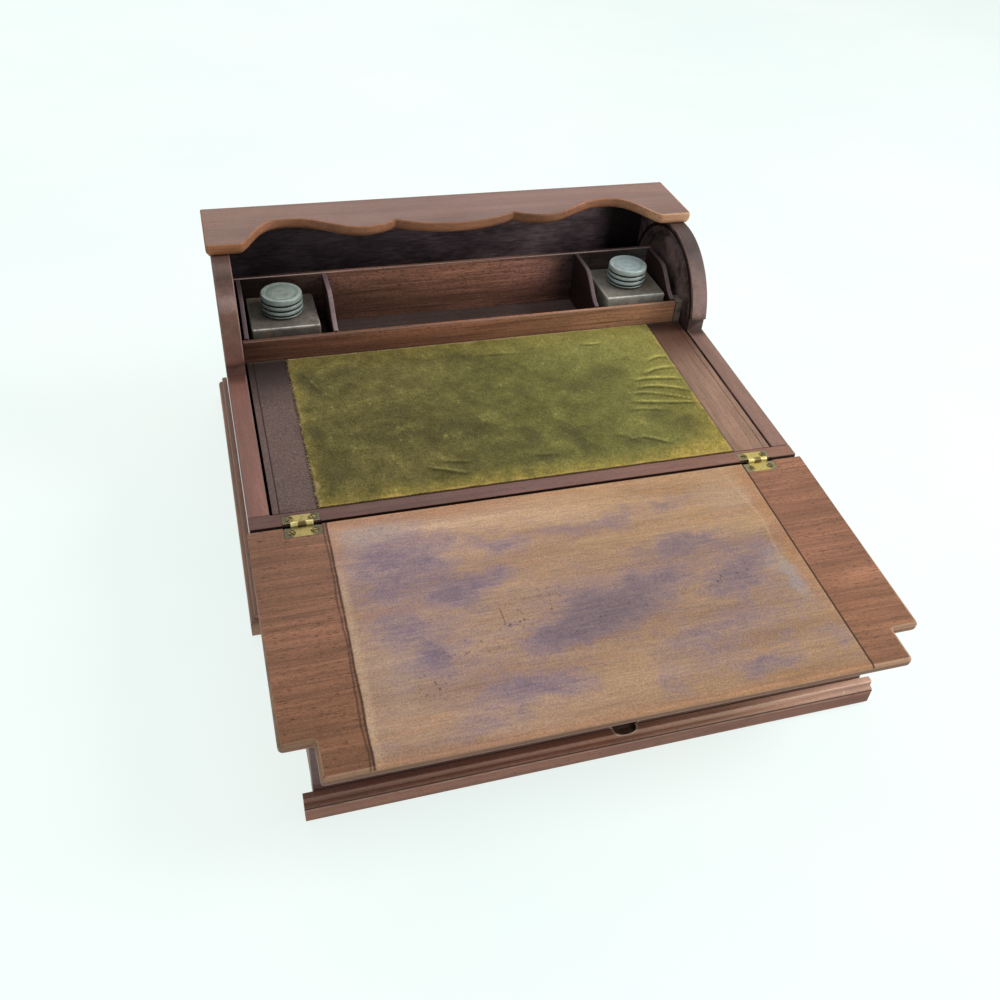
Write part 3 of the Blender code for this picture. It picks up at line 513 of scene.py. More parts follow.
# old stains on the flap's bare wood: place, half length, half depth, turn and strength
STAINS = [
    (-96, -161, 50, 26, 0.0, 0.85),
    (-103, -173, 24, 18, 0.2, 0.75),
    (-72, -157, 36, 13, 0.0, 0.6),
    (-38, -163.5, 29, 9, 0.0, 0.85),
    (-51, -184, 25, 10, 0.0, 0.85),
    (-69, -192, 22, 11, 0.0, 0.95),
    (-24, -231, 36, 13, 0.2, 1.0),
    (8, -219, 46, 19, 0.25, 1.0),
    (34, -209, 42, 15, 0.3, 0.9),
    (-90, -227, 14, 19, 0.0, 0.85),
    (-101, -210, 20, 14, 0.0, 0.5),
    (-42, -257, 36, 11, 0.0, 0.75),
    (-22, -260, 14, 11, 0.0, 0.65),
    (-78, -275, 36, 10, 0.0, 0.5),
    (14, -160, 38, 9, 0.0, 0.5),
    (34, -160, 20, 9, 0.1, 0.65),
    (74, -150, 25, 8, 0.2, 0.7),
    (66, -183, 34, 12, 0.0, 0.75),
    (92, -206, 38, 10, 0.25, 0.75),
    (112, -200, 14, 11, 0.0, 0.6),
    (79, -216, 26, 10, 0.2, 0.7),
    (53, -243, 34, 15, 0.1, 0.5),
    (78, -271, 30, 10, 0.0, 0.7),
    (23, -268, 17, 20, 0.2, 0.65),
    (124, -263, 9, 18, 0.0, 0.45),
]


# broad clouds that join the stains
CLOUDS = [
    (-88, -190, 66, 62, 0.0, 0.8),
    (12, -214, 100, 46, 0.22, 0.95),
    (78, -196, 70, 40, 0.15, 0.8),
    (70, -256, 80, 30, 0.0, 0.6),
    (-50, -258, 60, 24, 0.0, 0.65),
    (-30, -165, 60, 18, 0.0, 0.5),
    (50, -158, 50, 18, 0.1, 0.5),
    (-84, -234, 44, 34, 0.0, 0.75),
    (96, -226, 58, 46, 0.1, 0.8),
    (-100, -150, 60, 30, 0.0, 0.7),
]


def flap_paint(look, colour, roughness):
    """The flap's upper face: polished margins, and between the scored lines bare wood stained by old glue."""
    x, y, z = look.xyz()
    up = look.fit(look.xyz(look.facing)[2], 0.2, 0.5)
    wobble = look.noise(look.scaled((0.0, 1.0, 0.0)), 55.0, 3.0)
    sway = look.math("ADD", look.math("MULTIPLY", look.math("SUBTRACT", wobble, 0.5), 0.0016), look.fit(y, -0.282, -0.129, -0.1305, -0.1284, False))
    from_left = look.math("SUBTRACT", x, sway)
    from_right = look.math("SUBTRACT", 0.1308, x)

    # painted shade to the left and painted light to the right, across the whole flap
    colour = look.times(colour, look.fit(x, -0.14, 0.14, 0.82, 1.08, False))
    colour = look.times(colour, look.mix(look.fit(y, -0.27, -0.18), (0.95, 0.95, 0.87, 1.0), (1.0, 1.02, 1.02, 1.0)))
    # bare wood
    tone = look.noise(look.scaled((1.0, 9.0, 9.0), (2.1, 0.3, 0.0)), 7.0, 5.0, 0.6, 0.3)
    bare = look.ramp(tone, [(0.28, srgb(151, 117, 92)), (0.5, srgb(171, 137, 109)), (0.72, srgb(187, 152, 122))])
    lines = look.noise(look.scaled((1.0, 14.0, 14.0), (0.5, 0.0, 0.0)), 62.0, 4.0, 0.68)
    bare = look.times(bare, look.fit(lines, 0.28, 0.72, 0.80, 1.16, False))
    amber = look.noise(look.scaled((1.0, 10.0, 10.0), (0.9, 4.0, 0.0)), 11.0, 3.0, 0.6)
    bare = look.mix(look.fit(amber, 0.56, 0.70, 0.0, 0.32), bare, look.times(srgb(192, 136, 92), look.fit(lines, 0.28, 0.72, 0.86, 1.1, False)))
    # stains, drawn out along the grain
    pushed = look.shifted(0.017, 70.0, 3.0)
    mass = look.all_of([look.spot(pushed, *row) for row in STAINS])
    broad = look.all_of([look.spot(pushed, *row) for row in CLOUDS])
    cloud = look.noise(look.scaled((1.0, 2.2, 2.2), (0.3, 0.1, 0.0)), 24.0, 5.0, 0.66)
    field = look.math("ADD", look.math("MULTIPLY", mass, 0.46), look.math("MULTIPLY", broad, 0.46))
    field = look.math("ADD", field, look.fit(cloud, 0.3, 0.7, -0.20, 0.20, False))
    mottle = look.noise(look.scaled((1.0, 1.7, 1.7), (1.3, 0.4, 0.0)), 130.0, 4.0, 0.7)
    field = look.math("ADD", field, look.fit(mottle, 0.3, 0.7, -0.17, 0.17, False))
    soak = look.fit(field, -0.05, 0.85)
    soak = look.math("MULTIPLY", soak, look.fit(lines, 0.3, 0.7, 1.12, 0.80, False))
    bare = look.times(bare, look.fit(y, -0.19, -0.150, 0.96, 1.13))
    bare = look.times(bare, look.fit(x, -0.05, 0.11, 1.01, 0.95))
    bare = look.times(bare, look.mix(look.fit(x, -0.10, 0.09), (0.99, 1.01, 1.04, 1.0), (1.0, 1.0, 0.96, 1.0)))
    corner = look.math("MULTIPLY", look.fit(y, -0.178, -0.140), look.fit(x, -0.01, 0.07, 1.0, 0.0))
    violet = look.mix(look.fit(field, 0.35, 0.95), srgb(137, 117, 130), srgb(123, 106, 115))
    violet = look.times(violet, look.fit(lines, 0.28, 0.72, 0.90, 1.10, False))
    bare = look.mix(look.math("MULTIPLY", soak, 0.95, True), bare, violet)
    bare = look.times(bare, look.mix(look.fit(x, -0.09, 0.09), (1.0, 1.01, 1.05, 1.0), (1.0, 1.0, 0.93, 1.0)))
    bare = look.times(bare, look.fit(corner, 0.0, 1.0, 1.0, 1.09, False))
    bare = look.times(bare, look.fit(look.spot(pushed, 2, -222, 60, 24, 0.22), 0.0, 0.8, 1.0, 0.92))
    # hazes of old paste at the top left, and a bluish bloom on the right
    pale = look.noise(look.scaled((1.0, 1.6, 1.0)), 420.0, 2.0, 0.7)
    haze = look.all_of([look.spot(pushed, -108, -141, 40, 14), look.spot(pushed, 108, -150, 30, 26, 0.0, 0.6), look.spot(pushed, -110, -238, 22, 30, 0.0, 0.45)])
    bare = look.mix(look.math("MULTIPLY", look.math("MULTIPLY", haze, look.fit(pale, 0.3, 0.7, 0.4, 1.0)), 0.5), bare, srgb(180, 164, 150))
    bloom = look.all_of([look.spot(pushed, 118.5, -214, 8, 15), look.spot(pushed, 119.5, -224, 8, 14), look.spot(pushed, 112, -205, 8, 14, 0.0, 0.5)])
    bare = look.mix(look.math("MULTIPLY", look.math("MULTIPLY", bloom, look.fit(pale, 0.3, 0.65, 0.5, 1.0)), 0.55), bare, srgb(156, 152, 156))
    # glue lines a little inside the scored lines
    broken = look.fit(look.noise(look.place, 120.0, 4.0, 0.7), 0.34, 0.60)
    ridge = look.math("MULTIPLY", look.fit(from_left, 0.0006, 0.0016), look.fit(from_left, 0.0024, 0.0068, 1.0, 0.0))
    ridge = look.math("MULTIPLY", ridge, look.fit(y, -0.19, -0.15, 1.0, 0.35))
    drift = look.math("MULTIPLY", look.math("SUBTRACT", look.noise(look.scaled((0.0, 1.0, 0.0), (0, 7, 0)), 22.0, 3.0), 0.5), 0.004)
    upper = look.fit(y, -0.175, -0.132, 0.1217, 0.1150, False)
    lower = look.fit(y, -0.235, -0.175, 0.1130, 0.1217, False)
    course = look.math("MINIMUM", upper, lower)
    thread = look.fit(look.math("ABSOLUTE", look.math("SUBTRACT", look.math("ADD", x, drift), course)), 0.0003, 0.0016, 1.0, 0.0)
    thread = look.math("MULTIPLY", thread, look.fit(y, -0.215, -0.190))
    glue = look.math("MULTIPLY", look.math("MAXIMUM", ridge, look.math("MULTIPLY", thread, 0.65)), look.math("ADD", look.math("MULTIPLY", broken, 0.6), 0.4))
    bare = look.mix(look.math("MULTIPLY", glue, 0.40), bare, look.times(srgb(206, 176, 140), look.fit(lines, 0.28, 0.72, 0.9, 1.08, False)))
    # warm strips beside the right scored line and along the front and back edges
    strip = look.math("MULTIPLY", look.fit(from_right, 0.005, 0.012, 1.0, 0.0), look.fit(y, -0.262, -0.215))
    fore = look.fit(y, -0.2840, -0.2775, 1.0, 0.0)
    rear = look.math("MULTIPLY", look.fit(y, -0.1375, -0.1315), look.fit(x, -0.06, 0.0, 1.0, 0.25))
    side = look.math("MULTIPLY", look.fit(from_left, 0.002, 0.010, 1.0, 0.0), look.fit(y, -0.176, -0.150))
    warm = look.all_of([look.math("MULTIPLY", strip, 0.8), look.math("MULTIPLY", fore, 0.75), rear, look.math("MULTIPLY", side, 0.7)])
    bare = look.mix(look.math("MULTIPLY", warm, 0.52), bare, look.times(srgb(172, 118, 84), look.fit(lines, 0.28, 0.72, 0.8, 1.14, False)))
    # ink specks: a few clusters, and a loose row on the right
    dots = look.cells(look.scaled((1.0, 0.7, 1.0)), 420.0)
    where = look.all_of(
        [
            look.spot(pushed, -21, -205, 16, 12),
            look.spot(pushed, -94, -245, 12, 9),
            look.spot(pushed, -42, -214, 22, 12, 0.0, 0.8),
            look.spot(pushed, 6, -222, 34, 12, 0.25, 0.8),
            look.spot(pushed, 78, -212, 46, 6, 0.2),
            look.spot(pushed, -70, -228, 26, 14, 0.0, 0.7),
            look.spot(pushed, 2, -178, 16, 5, 0.1, 0.7),
        ]
    )
    ink = look.math("MULTIPLY", look.fit(dots, 0.18, 0.36, 1.0, 0.0), look.math("MULTIPLY", where, look.fit(look.noise(look.place, 210.0, 2.0), 0.40, 0.56)))
    bare = look.mix(look.math("MULTIPLY", ink, 0.8), bare, srgb(74, 64, 50))
    scratch = look.math("MULTIPLY", look.line(look.math("ADD", x, look.math("MULTIPLY", y, 0.02)), -0.0537, 0.00015, 0.0002), look.line(y, -0.2125, 0.0045, 0.001))
    bare = look.mix(look.math("MULTIPLY", scratch, 0.75), bare, srgb(92, 72, 64))
    fuzz = look.noise(look.place, 1050.0, 3.0, 0.75)
    bare = look.times(bare, look.fit(fuzz, 0.25, 0.75, 0.64, 1.36, False))

    inside = look.math("MULTIPLY", look.fit(from_left, 0.0002, 0.0008), look.fit(from_right, 0.0, 0.0004))
    inside = look.math("MULTIPLY", inside, up)
    colour = look.mix(inside, colour, bare)
    roughness = look.fit(inside, 0.0, 1.0, roughness, 0.72, False)
    # scored lines: one clean cut on the right, a ragged double one on the left
    cut_right = look.fit(look.math("ABSOLUTE", from_right), 0.00032, 0.0008, 1.0, 0.0)
    first = look.fit(look.math("ABSOLUTE", from_left), 0.0003, 0.0009, 1.0, 0.0)
    gap = look.fit(look.noise(look.scaled((0.0, 1.0, 0.0), (0, 3.0, 0)), 30.0, 2.0), 0.35, 0.65, 0.0004, 0.0014, False)
    second = look.fit(look.math("ABSOLUTE", look.math("ADD", from_left, look.math("ADD", gap, 0.0009))), 0.0003, 0.0008, 1.0, 0.0)
    ragged = look.fit(look.noise(look.scaled((0.0, 1.0, 0.0), (0, 5, 0)), 210.0, 3.0, 0.7), 0.30, 0.5, 0.25, 1.0)
    cut_left = look.math("MULTIPLY", look.math("MAXIMUM", first, look.math("MULTIPLY", second, 0.75)), ragged)
    cuts = look.math("MULTIPLY", look.math("MAXIMUM", cut_right, look.math("MULTIPLY", cut_left, 0.85)), up)
    colour = look.mix(look.math("MULTIPLY", cuts, 0.9), colour, srgb(50, 32, 22))
    # the round of the front edge: painted shade where it faces down, and a painted highlight along the front, stronger
    # to the right
    under = look.math("MULTIPLY", look.fit(look.xyz(look.facing)[2], -0.1, 0.45, 1.0, 0.0), look.fit(y, -0.2830, -0.2800, 1.0, 0.0))
    colour = look.mix(look.math("MULTIPLY", under, 0.50), colour, srgb(92, 62, 48))
    rubbed = look.math("MULTIPLY", look.fit(y, -0.2834, -0.2818, 1.0, 0.0), look.fit(x, -0.10, 0.12, 0.5, 1.0))
    colour = look.times(colour, look.fit(rubbed, 0.0, 1.0, 1.0, 1.25, False))
    # the back edge: painted shade, near black, where it closes against the rail
    behind = look.math("MULTIPLY", look.fit(look.xyz(look.facing)[1], 0.5, 0.85), look.fit(z, 0.0752, 0.0772, 0.1, 1.0))
    colour = look.mix(look.math("MULTIPLY", behind, 0.85), colour, srgb(22, 14, 12))
    return colour, roughness


# worn and soiled places on the velvet: place, half length, half depth, turn and strength
SOILED = [
    (-119, 1, 8, 20, 0.45, 0.9),
    (-94, 12, 12, 9, 0.0, 0.75),
    (-67, -36, 13, 11, 0.0, 0.6),
    (-86, -60, 18, 12, 0.0, 0.6),
    (-69, -63, 14, 9, 0.0, 0.65),
    (-34, -61, 26, 16, 0.0, 0.75),
    (-115, -89, 18, 13, 0.0, 0.6),
    (-123, -51, 9, 11, 0.0, 0.7),
    (81, -20, 24, 14, 0.1, 0.7),
    (37, -77, 22, 9, 0.0, 1.0),
    (9, -79, 9, 20, 0.1, 0.8),
    (11, -97, 22, 7, 0.0, 0.9),
    (38, -91, 6, 15, 0.2, 0.9),
    (113, -83, 20, 13, 0.0, 0.85),
    (75, -93, 20, 10, -0.1, 0.8),
    (99, -71, 15, 8, 0.0, 0.75),
    (17, -29, 12, 9, 0.0, 0.55),
    (38, -24, 11, 8, 0.0, 0.55),
    (56, -34, 24, 10, 0.0, 0.45),
    (-8, -84, 22, 9, 0.0, 0.45),
    (-55, -10, 26, 9, 0.0, 0.35),
]
RUBBED = [
    (-88, -24, 18, 6, 0.1, 0.6),
    (-69, -54, 14, 5, 0.4, 0.8),
    (-13, -52, 12, 10, 0.3, 0.8),
    (-38, -64, 7, 5, 0.0, 0.6),
    (33, -60, 6, 22, 0.2, 0.55),
    (21, -104, 10, 14, 0.3, 0.6),
    (-16, 21, 40, 7, 0.0, 0.5),
    (-108, 17, 20, 7, 0.2, 0.6),
    (100, 12, 40, 16, 0.0, 0.4),
    (-98, -66, 16, 6, 0.2, 0.5),
]


def velvet_look():
    look = Look("olive_velvet_pile")
    x, y, z = look.xyz()
    wx, wy, wz = look.xyz(look.shifted(0.012, 70.0, 3.0))
    big = look.noise(look.place, 19.0, 5.0, 0.62, 0.4)
    middle = look.noise(look.place, 85.0, 4.0, 0.66)
    clump = look.noise(look.place, 300.0, 3.0, 0.7)
    fine = look.noise(look.place, 900.0, 3.0, 0.75)
    pile = look.noise(look.scaled((1.0, 0.35, 1.0)), 1500.0, 2.0, 0.6)
    nap = look.math("ADD", look.math("MULTIPLY", big, 0.5), look.math("MULTIPLY", middle, 0.5))
    colour = look.ramp(
        nap, [(0.32, srgb(69, 64, 35)), (0.45, srgb(91, 86, 47)), (0.56, srgb(108, 102, 57)), (0.70, srgb(133, 123, 69))]
    )
    # paler, greener and more even to the right; painted light to the right and towards the back, and painted shade at
    # the front left
    colour = look.mix(look.fit(x, -0.03, 0.06, 0.0, 0.42), colour, srgb(102, 96, 54))
    colour = look.times(colour, look.mix(look.fit(x, -0.09, 0.05), (1.0, 0.95, 1.03, 1.0), (0.965, 1.03, 0.97, 1.0)))
    colour = look.times(colour, look.mix(look.fit(x, 0.05, 0.11), (1.0, 1.0, 1.0, 1.0), (0.95, 0.95, 0.91, 1.0)))
    colour = look.times(colour, look.fit(x, -0.13, 0.02, 1.02, 1.12, False))
    colour = look.times(colour, look.fit(x, -0.01, 0.10, 1.0, 1.24))
    colour = look.times(colour, look.fit(look.math("ADD", look.math("MULTIPLY", x, 0.5), y), 0.0, 0.06, 1.0, 1.53))
    low = look.math("MULTIPLY", look.fit(y, -0.075, -0.025, 1.0, 0.0), look.fit(x, 0.01, 0.06, 1.0, 0.15))
    colour = look.times(colour, look.fit(low, 0.0, 1.0, 1.0, 0.84, False))
    # rubbed golden along the front and the right, tan at the left and back edges
    front = look.math("MULTIPLY", look.fit(wy, -0.1145, -0.099, 1.0, 0.0), look.fit(x, -0.10, 0.06, 0.75, 1.0))
    right = look.math("MULTIPLY", look.fit(wx, 0.095, 0.128), look.fit(wy, -0.09, -0.06, 1.0, 0.45))
    back = look.fit(wy, 0.006, 0.030)
    left = look.fit(wx, -0.131, -0.121, 1.0, 0.0)
    gold = look.all_of([look.math("MULTIPLY", front, 0.9), look.math("MULTIPLY", right, 0.7), look.math("MULTIPLY", back, 0.35), look.math("MULTIPLY", left, 0.45)])
    gold = look.math("MULTIPLY", gold, look.fit(middle, 0.3, 0.62, 0.45, 1.0))
    colour = look.mix(look.math("MULTIPLY", gold, 0.8), colour, srgb(162, 143, 70))
    pushed = look.shifted(0.014, 75.0, 3.0)
    corner = look.math("MULTIPLY", look.spot(pushed, 112, -110, 40, 13, 0.1), look.fit(clump, 0.3, 0.6, 0.55, 1.0))
    colour = look.mix(look.math("MULTIPLY", corner, 0.8), colour, srgb(176, 153, 78))
    soiled = look.all_of([look.spot(pushed, *row) for row in SOILED])
    soiled = look.math("MULTIPLY", soiled, look.fit(clump, 0.3, 0.62, 0.5, 1.0))
    colour = look.mix(look.math("MULTIPLY", soiled, 0.72), colour, srgb(70, 65, 44))
    rubbed = look.all_of([look.spot(pushed, *row) for row in RUBBED])
    rubbed = look.math("MULTIPLY", rubbed, look.fit(clump, 0.35, 0.68, 0.25, 1.0))
    colour = look.mix(look.math("MULTIPLY", rubbed, 0.6), colour, srgb(146, 140, 78))
    lights = look.math("MULTIPLY", look.fit(middle, 0.54, 0.68), look.fit(clump, 0.48, 0.68))
    colour = look.mix(look.math("MULTIPLY", lights, 0.45), colour, srgb(150, 144, 80))
    colour = look.times(colour, look.fit(clump, 0.25, 0.75, 0.80, 1.18, False))
    colour = look.times(colour, look.fit(fine, 0.25, 0.75, look.fit(x, -0.13, 0.0, 0.48, 0.60), look.fit(x, -0.13, 0.0, 1.52, 1.40), False))
    colour = look.times(colour, look.fit(pile, 0.25, 0.75, 0.70, 1.28, False))
    # the frayed edge: tan at the left and back, golden at the front
    frayed = look.fit(clump, 0.32, 0.6, 0.35, 1.0)
    fore = look.all_of([look.fit(wy, -0.1157, -0.1125, 1.0, 0.0), look.math("MULTIPLY", look.fit(wx, 0.1285, 0.1308), 0.6)])
    rear = look.all_of([look.fit(wx, -0.1308, -0.1280, 1.0, 0.0), look.fit(wy, 0.0292, 0.0314)])
    straw = look.fit(fine, 0.25, 0.75, 0.66, 1.3, False)
    colour = look.mix(look.math("MULTIPLY", look.math("MULTIPLY", fore, frayed), 0.85), colour, look.times(srgb(186, 152, 84), straw))
    colour = look.mix(look.math("MULTIPLY", look.math("MULTIPLY", rear, frayed), 0.7), colour, look.times(srgb(164, 142, 102), straw))
    # painted light and shade on the folds: pale where a slope faces the back, dark where it faces the front, and a
    # painted highlight on the ridge tops
    slope_shade = look.xyz(look.facing)[1]
    colour = look.times(colour, look.fit(slope_shade, -0.42, -0.055, 0.28, 1.0, False))
    colour = look.times(colour, look.fit(slope_shade, -0.035, 0.26, 1.0, 1.6, False))
    rise = look.math("SUBTRACT", z, look.fit(y, FRONT_Y * MM, 0.075, HINGE_Z * MM, panel_z(75.0) * MM, False))
    colour = look.times(colour, look.fit(rise, 0.00072, 0.00112, 1.0, 1.7))
    lint = look.math("MULTIPLY", look.fit(look.cells(look.place, 240.0), 0.02, 0.06, 1.0, 0.0), look.fit(look.noise(look.place, 70.0), 0.58, 0.66))
    colour = look.mix(look.math("MULTIPLY", lint, 0.6), colour, srgb(196, 190, 156))
    height = look.math("ADD", look.math("MULTIPLY", fine, 0.7), look.math("MULTIPLY", pile, 0.5))
    look.bump(look.math("ADD", height, look.math("MULTIPLY", clump, 0.9)), 0.5, 0.0005)
    return look.done(colour, 0.94, Specular_IOR_Level=0.1, Sheen_Weight=0.2, Sheen_Roughness=0.5, Sheen_Tint=srgb(190, 182, 130))


def cloth_look(name, dark, light, pitch=0.0006):
    """Plain woven cloth: crossed threads, with dust."""
    look = Look(name)
    warp = look.node("ShaderNodeTexWave", wave_type="BANDS", bands_direction="X")
    look.put(warp.inputs["Vector"], look.place)
    warp.inputs["Scale"].default_value = 0.314 / pitch
    warp.inputs["Distortion"].default_value = 0.6
    weft = look.node("ShaderNodeTexWave", wave_type="BANDS", bands_direction="Z")
    look.put(weft.inputs["Vector"], look.place)
    weft.inputs["Scale"].default_value = 0.314 / pitch
    weft.inputs["Distortion"].default_value = 0.6
    weave = look.math("MULTIPLY", warp.outputs["Fac"], weft.outputs["Fac"])
    cloud = look.noise(look.place, 40.0, 4.0, 0.6)
    colour = look.mix(look.math("ADD", look.math("MULTIPLY", weave, 0.6), look.math("MULTIPLY", cloud, 0.4)), dark, light)
    look.bump(weave, 0.5, 0.0003)
    return look.done(colour, 0.9, Specular_IOR_Level=0.2)


# ---- pieces ----------------------------------------------------------------------------------------------------------
def dress(piece, node):
    """The piece stands for a CAD node and moves with its body."""
    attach(piece, BODY_OF[node])
    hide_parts(node)
    return piece


def link(name, bm, looks, sharp=45.0, weighted=True):
    mesh = bpy.data.meshes.new(name)
    bm.to_mesh(mesh)
    bm.free()
    for look in looks:
        mesh.materials.append(look)
    mesh.shade_smooth()
    mesh.set_sharp_from_angle(angle=math.radians(sharp))
    piece = bpy.data.objects.new(name, mesh)
    scene.collection.objects.link(piece)
    if weighted:
        even = piece.modifiers.new("even", "WEIGHTED_NORMAL")
        even.keep_sharp = True
        even.weight = 60
    return piece


def welded(node):
    bm = bmesh.new()
    bm.from_mesh(NODES[node].data)
    bmesh.ops.remove_doubles(bm, verts=bm.verts, dist=4e-6)
    bmesh.ops.dissolve_limit(bm, angle_limit=math.radians(0.4), verts=bm.verts, edges=bm.edges)
    for face in bm.faces:
        face.material_index = 0
    bm.normal_update()
    return bm


def ease(bm, edges, width, segments, material):
    if edges:
        bmesh.ops.bevel(
            bm,
            geom=edges,
            offset=width * MM,
            offset_type="OFFSET",
            segments=segments,
            profile=0.5,
            affect="EDGES",
            clamp_overlap=width < 1.0,
            material=material,
        )


def refine(node, look, edge=None, bevel=0.6, segments=2, angle=32.0, chosen=None, sharp=50.0, nose=None, faced=None):
    """The CAD node with its edges eased, in its own worn edge material.

    nose is a wider round for some edges, as (width, segments, test); faced moves faces to the edge material."""
    bm = welded(node)
    material = 1 if edge else -1

    def corners(test):
        found = [e for e in bm.edges if len(e.link_faces) == 2 and e.calc_face_angle(0.0) > math.radians(angle)]
        return [e for e in found if test is None or test((e.verts[0].co + e.verts[1].co) / 2 / MM, e.calc_length() / MM)]

    if nose:
        ease(bm, corners(nose[2]), nose[0], nose[1], material)
        bm.normal_update()
    if bevel:
        ease(bm, corners(chosen), bevel, segments, material)
    if faced:
        bm.normal_update()
        for face in bm.faces:
            if faced(face.normal, face.calc_center_median() / MM):
                face.material_index = 1
    piece = link(node + "_look", bm, [look, edge] if edge else [look], sharp)
    return dress(piece, node)


def turned(name, profile, steps, x, y, looks, sharp=35.0):
    """A lathe piece: (radius, height, material) points from the middle of the top outwards, millimetres."""
    bm = bmesh.new()
    rings = []
    for r, h, _ in profile:
        if r == 0.0:
            rings.append([bm.verts.new((x * MM, y * MM, h * MM))])
            continue
        ring = []
        for k in range(steps):
            t = 2 * math.pi * k / steps
            ring.append(bm.verts.new(((x + r * math.cos(t)) * MM, (y + r * math.sin(t)) * MM, h * MM)))
        rings.append(ring)
    for (near, far), (_, _, slot) in zip(zip(rings, rings[1:]), profile[1:]):
        for k in range(steps):
            j = (k + 1) % steps
            corners = [near[k % len(near)], far[k % len(far)], far[j % len(far)], near[j % len(near)]]
            corners = list(dict.fromkeys(corners))
            face = bm.faces.new(corners)
            face.material_index = slot
    bmesh.ops.recalc_face_normals(bm, faces=bm.faces)
    return link(name, bm, looks, sharp, weighted=False)


# the rear wall: painted shadow behind each inkwell and about the right divider, lighter and warm in the middle of the
# tray
WALL_SHADES = [(-156, (0.07, 0.09, 0.10)), (-132, (0.13, 0.17, 0.20)), (-120, (0.25, 0.32, 0.37)), (-105, (0.36, 0.47, 0.56)), (-99, (0.40, 0.50, 0.58)), (-94, (0.80, 0.88, 0.90))]
WALL_SHADES += [(-70, (1.0, 1.1, 1.06)), (-20, (1.26, 1.35, 1.30)), (20, (1.30, 1.39, 1.33)), (50, (1.18, 1.27, 1.37)), (68, (1.06, 1.15, 1.33))]
WALL_SHADES += [(76, (0.66, 0.77, 0.90)), (82, (0.36, 0.46, 0.60)), (90, (0.22, 0.34, 0.52)), (104, (0.14, 0.20, 0.26)), (128, (0.32, 0.58, 0.85)), (152, (0.6, 1.2, 1.75))]

# ---- woods -----------------------------------------------------------------------------------------------------------
TOP = wood("mahogany_top", *tones(140, 106, 94, 0.10), seed=1.3, streak=0.12, pore=0.3, blotch=0.1, rough=(0.34, 0.46), specks=0.8, paint=stepped([(-160, (1.0, 1.02, 0.98)), (0, (0.92, 0.93, 0.97)), (150, (1.0, 1.05, 1.07))]))
TOP_EDGE = wood("mahogany_top_nose", *tones(163, 113, 85, 0.14), seed=1.9, streak=0.24, pore=0.3, rough=(0.34, 0.46), paint=nose_paint)
SIDE_L = wood("mahogany_side_left", *tones(133, 92, 81, 0.12), along="Y", seed=2.2, streak=0.14, pore=0.35, rough=(0.34, 0.48), paint=side_paint(-1))
SIDE_R = wood("mahogany_side_right", *tones(142, 110, 97, 0.12), along="Y", seed=3.1, streak=0.14, pore=0.35, rough=(0.34, 0.48), paint=side_paint(1))
SIDE_EDGE = wood("mahogany_side_edge", *tones(134, 104, 95, 0.12), along="Y", seed=3.7, pore=0.25, rough=(0.36, 0.5))
RAIL = wood("mahogany_rail", *tones(122, 86, 76, 0.12), seed=4.1, streak=0.16, pore=0.35, rough=(0.34, 0.48), paint=rail_paint)
RAIL_EDGE = wood("mahogany_rail_edge", *tones(130, 94, 84, 0.12), seed=4.6, pore=0.25, paint=graded((0.8, 0.8, 0.86), (1.25, 1.27, 1.24)))
PANEL = wood("mahogany_panel", *tones(148, 116, 97, 0.12), along="Y", seed=5.2, streak=0.26, pore=0.4, rough=(0.36, 0.52), paint=panel_paint)
# the tray's front rail: painted shade towards its left end and painted light towards the right
TRAY = wood("mahogany_tray", *tones(138, 92, 67, 0.18), seed=6.1, streak=0.48, pore=0.8, grain=0.26, rough=(0.42, 0.56), paint=stepped([(-150, (0.45, 0.44, 0.52)), (-110, (0.61, 0.61, 0.70)), (0, (1.30, 1.33, 1.45)), (110, (1.69, 2.0, 2.12)), (150, (1.75, 2.05, 2.2))]))
TRAY_EDGE = wood("mahogany_tray_edge", *tones(150, 118, 100, 0.14), seed=6.4, pore=0.25, rough=(0.4, 0.55), paint=graded((0.6, 0.6, 0.62), (1.1, 1.1, 1.1)))
WALL = wood("mahogany_rear_wall", *tones(126, 85, 70, 0.26), seed=7.3, streak=0.56, pore=0.8, grain=0.4, rough=(0.42, 0.58), paint=stepped(WALL_SHADES))
WALL_EDGE = wood("mahogany_rear_wall_edge", *tones(150, 126, 118, 0.16), seed=7.7, pore=0.4, grain=0.3, rough=(0.4, 0.55))
DIVIDER = wood("mahogany_divider", *tones(54, 38, 35, 0.2), along="Y", seed=8.0, streak=0.2, pore=0.45, paint=well_paint)
DIVIDER_EDGE = wood("mahogany_divider_edge", *tones(112, 95, 96, 0.14), along="Y", seed=8.4, pore=0.3, grain=0.3, paint=edge_paint)
TRAY_FLOOR = wood("dark_mahogany_floor", *tones(84, 65, 58, 0.2), seed=9.7, streak=0.2, pore=0.4, rough=(0.5, 0.7), dust=(0.3, srgb(120, 112, 108)), paint=floor_paint)
BACK = wood("dark_mahogany_back", *tones(92, 64, 54, 0.2), seed=10.3, streak=0.24, pore=0.45, rough=(0.5, 0.66), paint=inside_paint)
BASE = wood("dark_mahogany_base", *tones(96, 70, 56, 0.2), seed=11.0, streak=0.22, pore=0.4, rough=(0.6, 0.75), dust=(0.25, srgb(140, 126, 112)))
PLINTH = wood("mahogany_plinth", *tones(153, 115, 96, 0.12), along="Y", seed=12.0, streak=0.18, pore=0.35, rough=(0.36, 0.5))
PLINTH_EDGE = wood("mahogany_plinth_edge", *tones(140, 116, 108, 0.12), along="Y", seed=12.4, pore=0.2)
MOULD = wood("mahogany_moulding", *tones(138, 96, 79, 0.14), seed=13.0, streak=0.2, pore=0.4, rough=(0.36, 0.5), specks=0.5, paint=mould_paint)
MOULD_EDGE = wood("mahogany_moulding_edge", *tones(146, 108, 92, 0.12), seed=13.5, pore=0.3, paint=mould_paint)
FACE = wood("mahogany_drawer_face", *tones(105, 73, 64, 0.16), seed=14.0, streak=0.2, pore=0.4, rough=(0.36, 0.5), paint=face_paint)
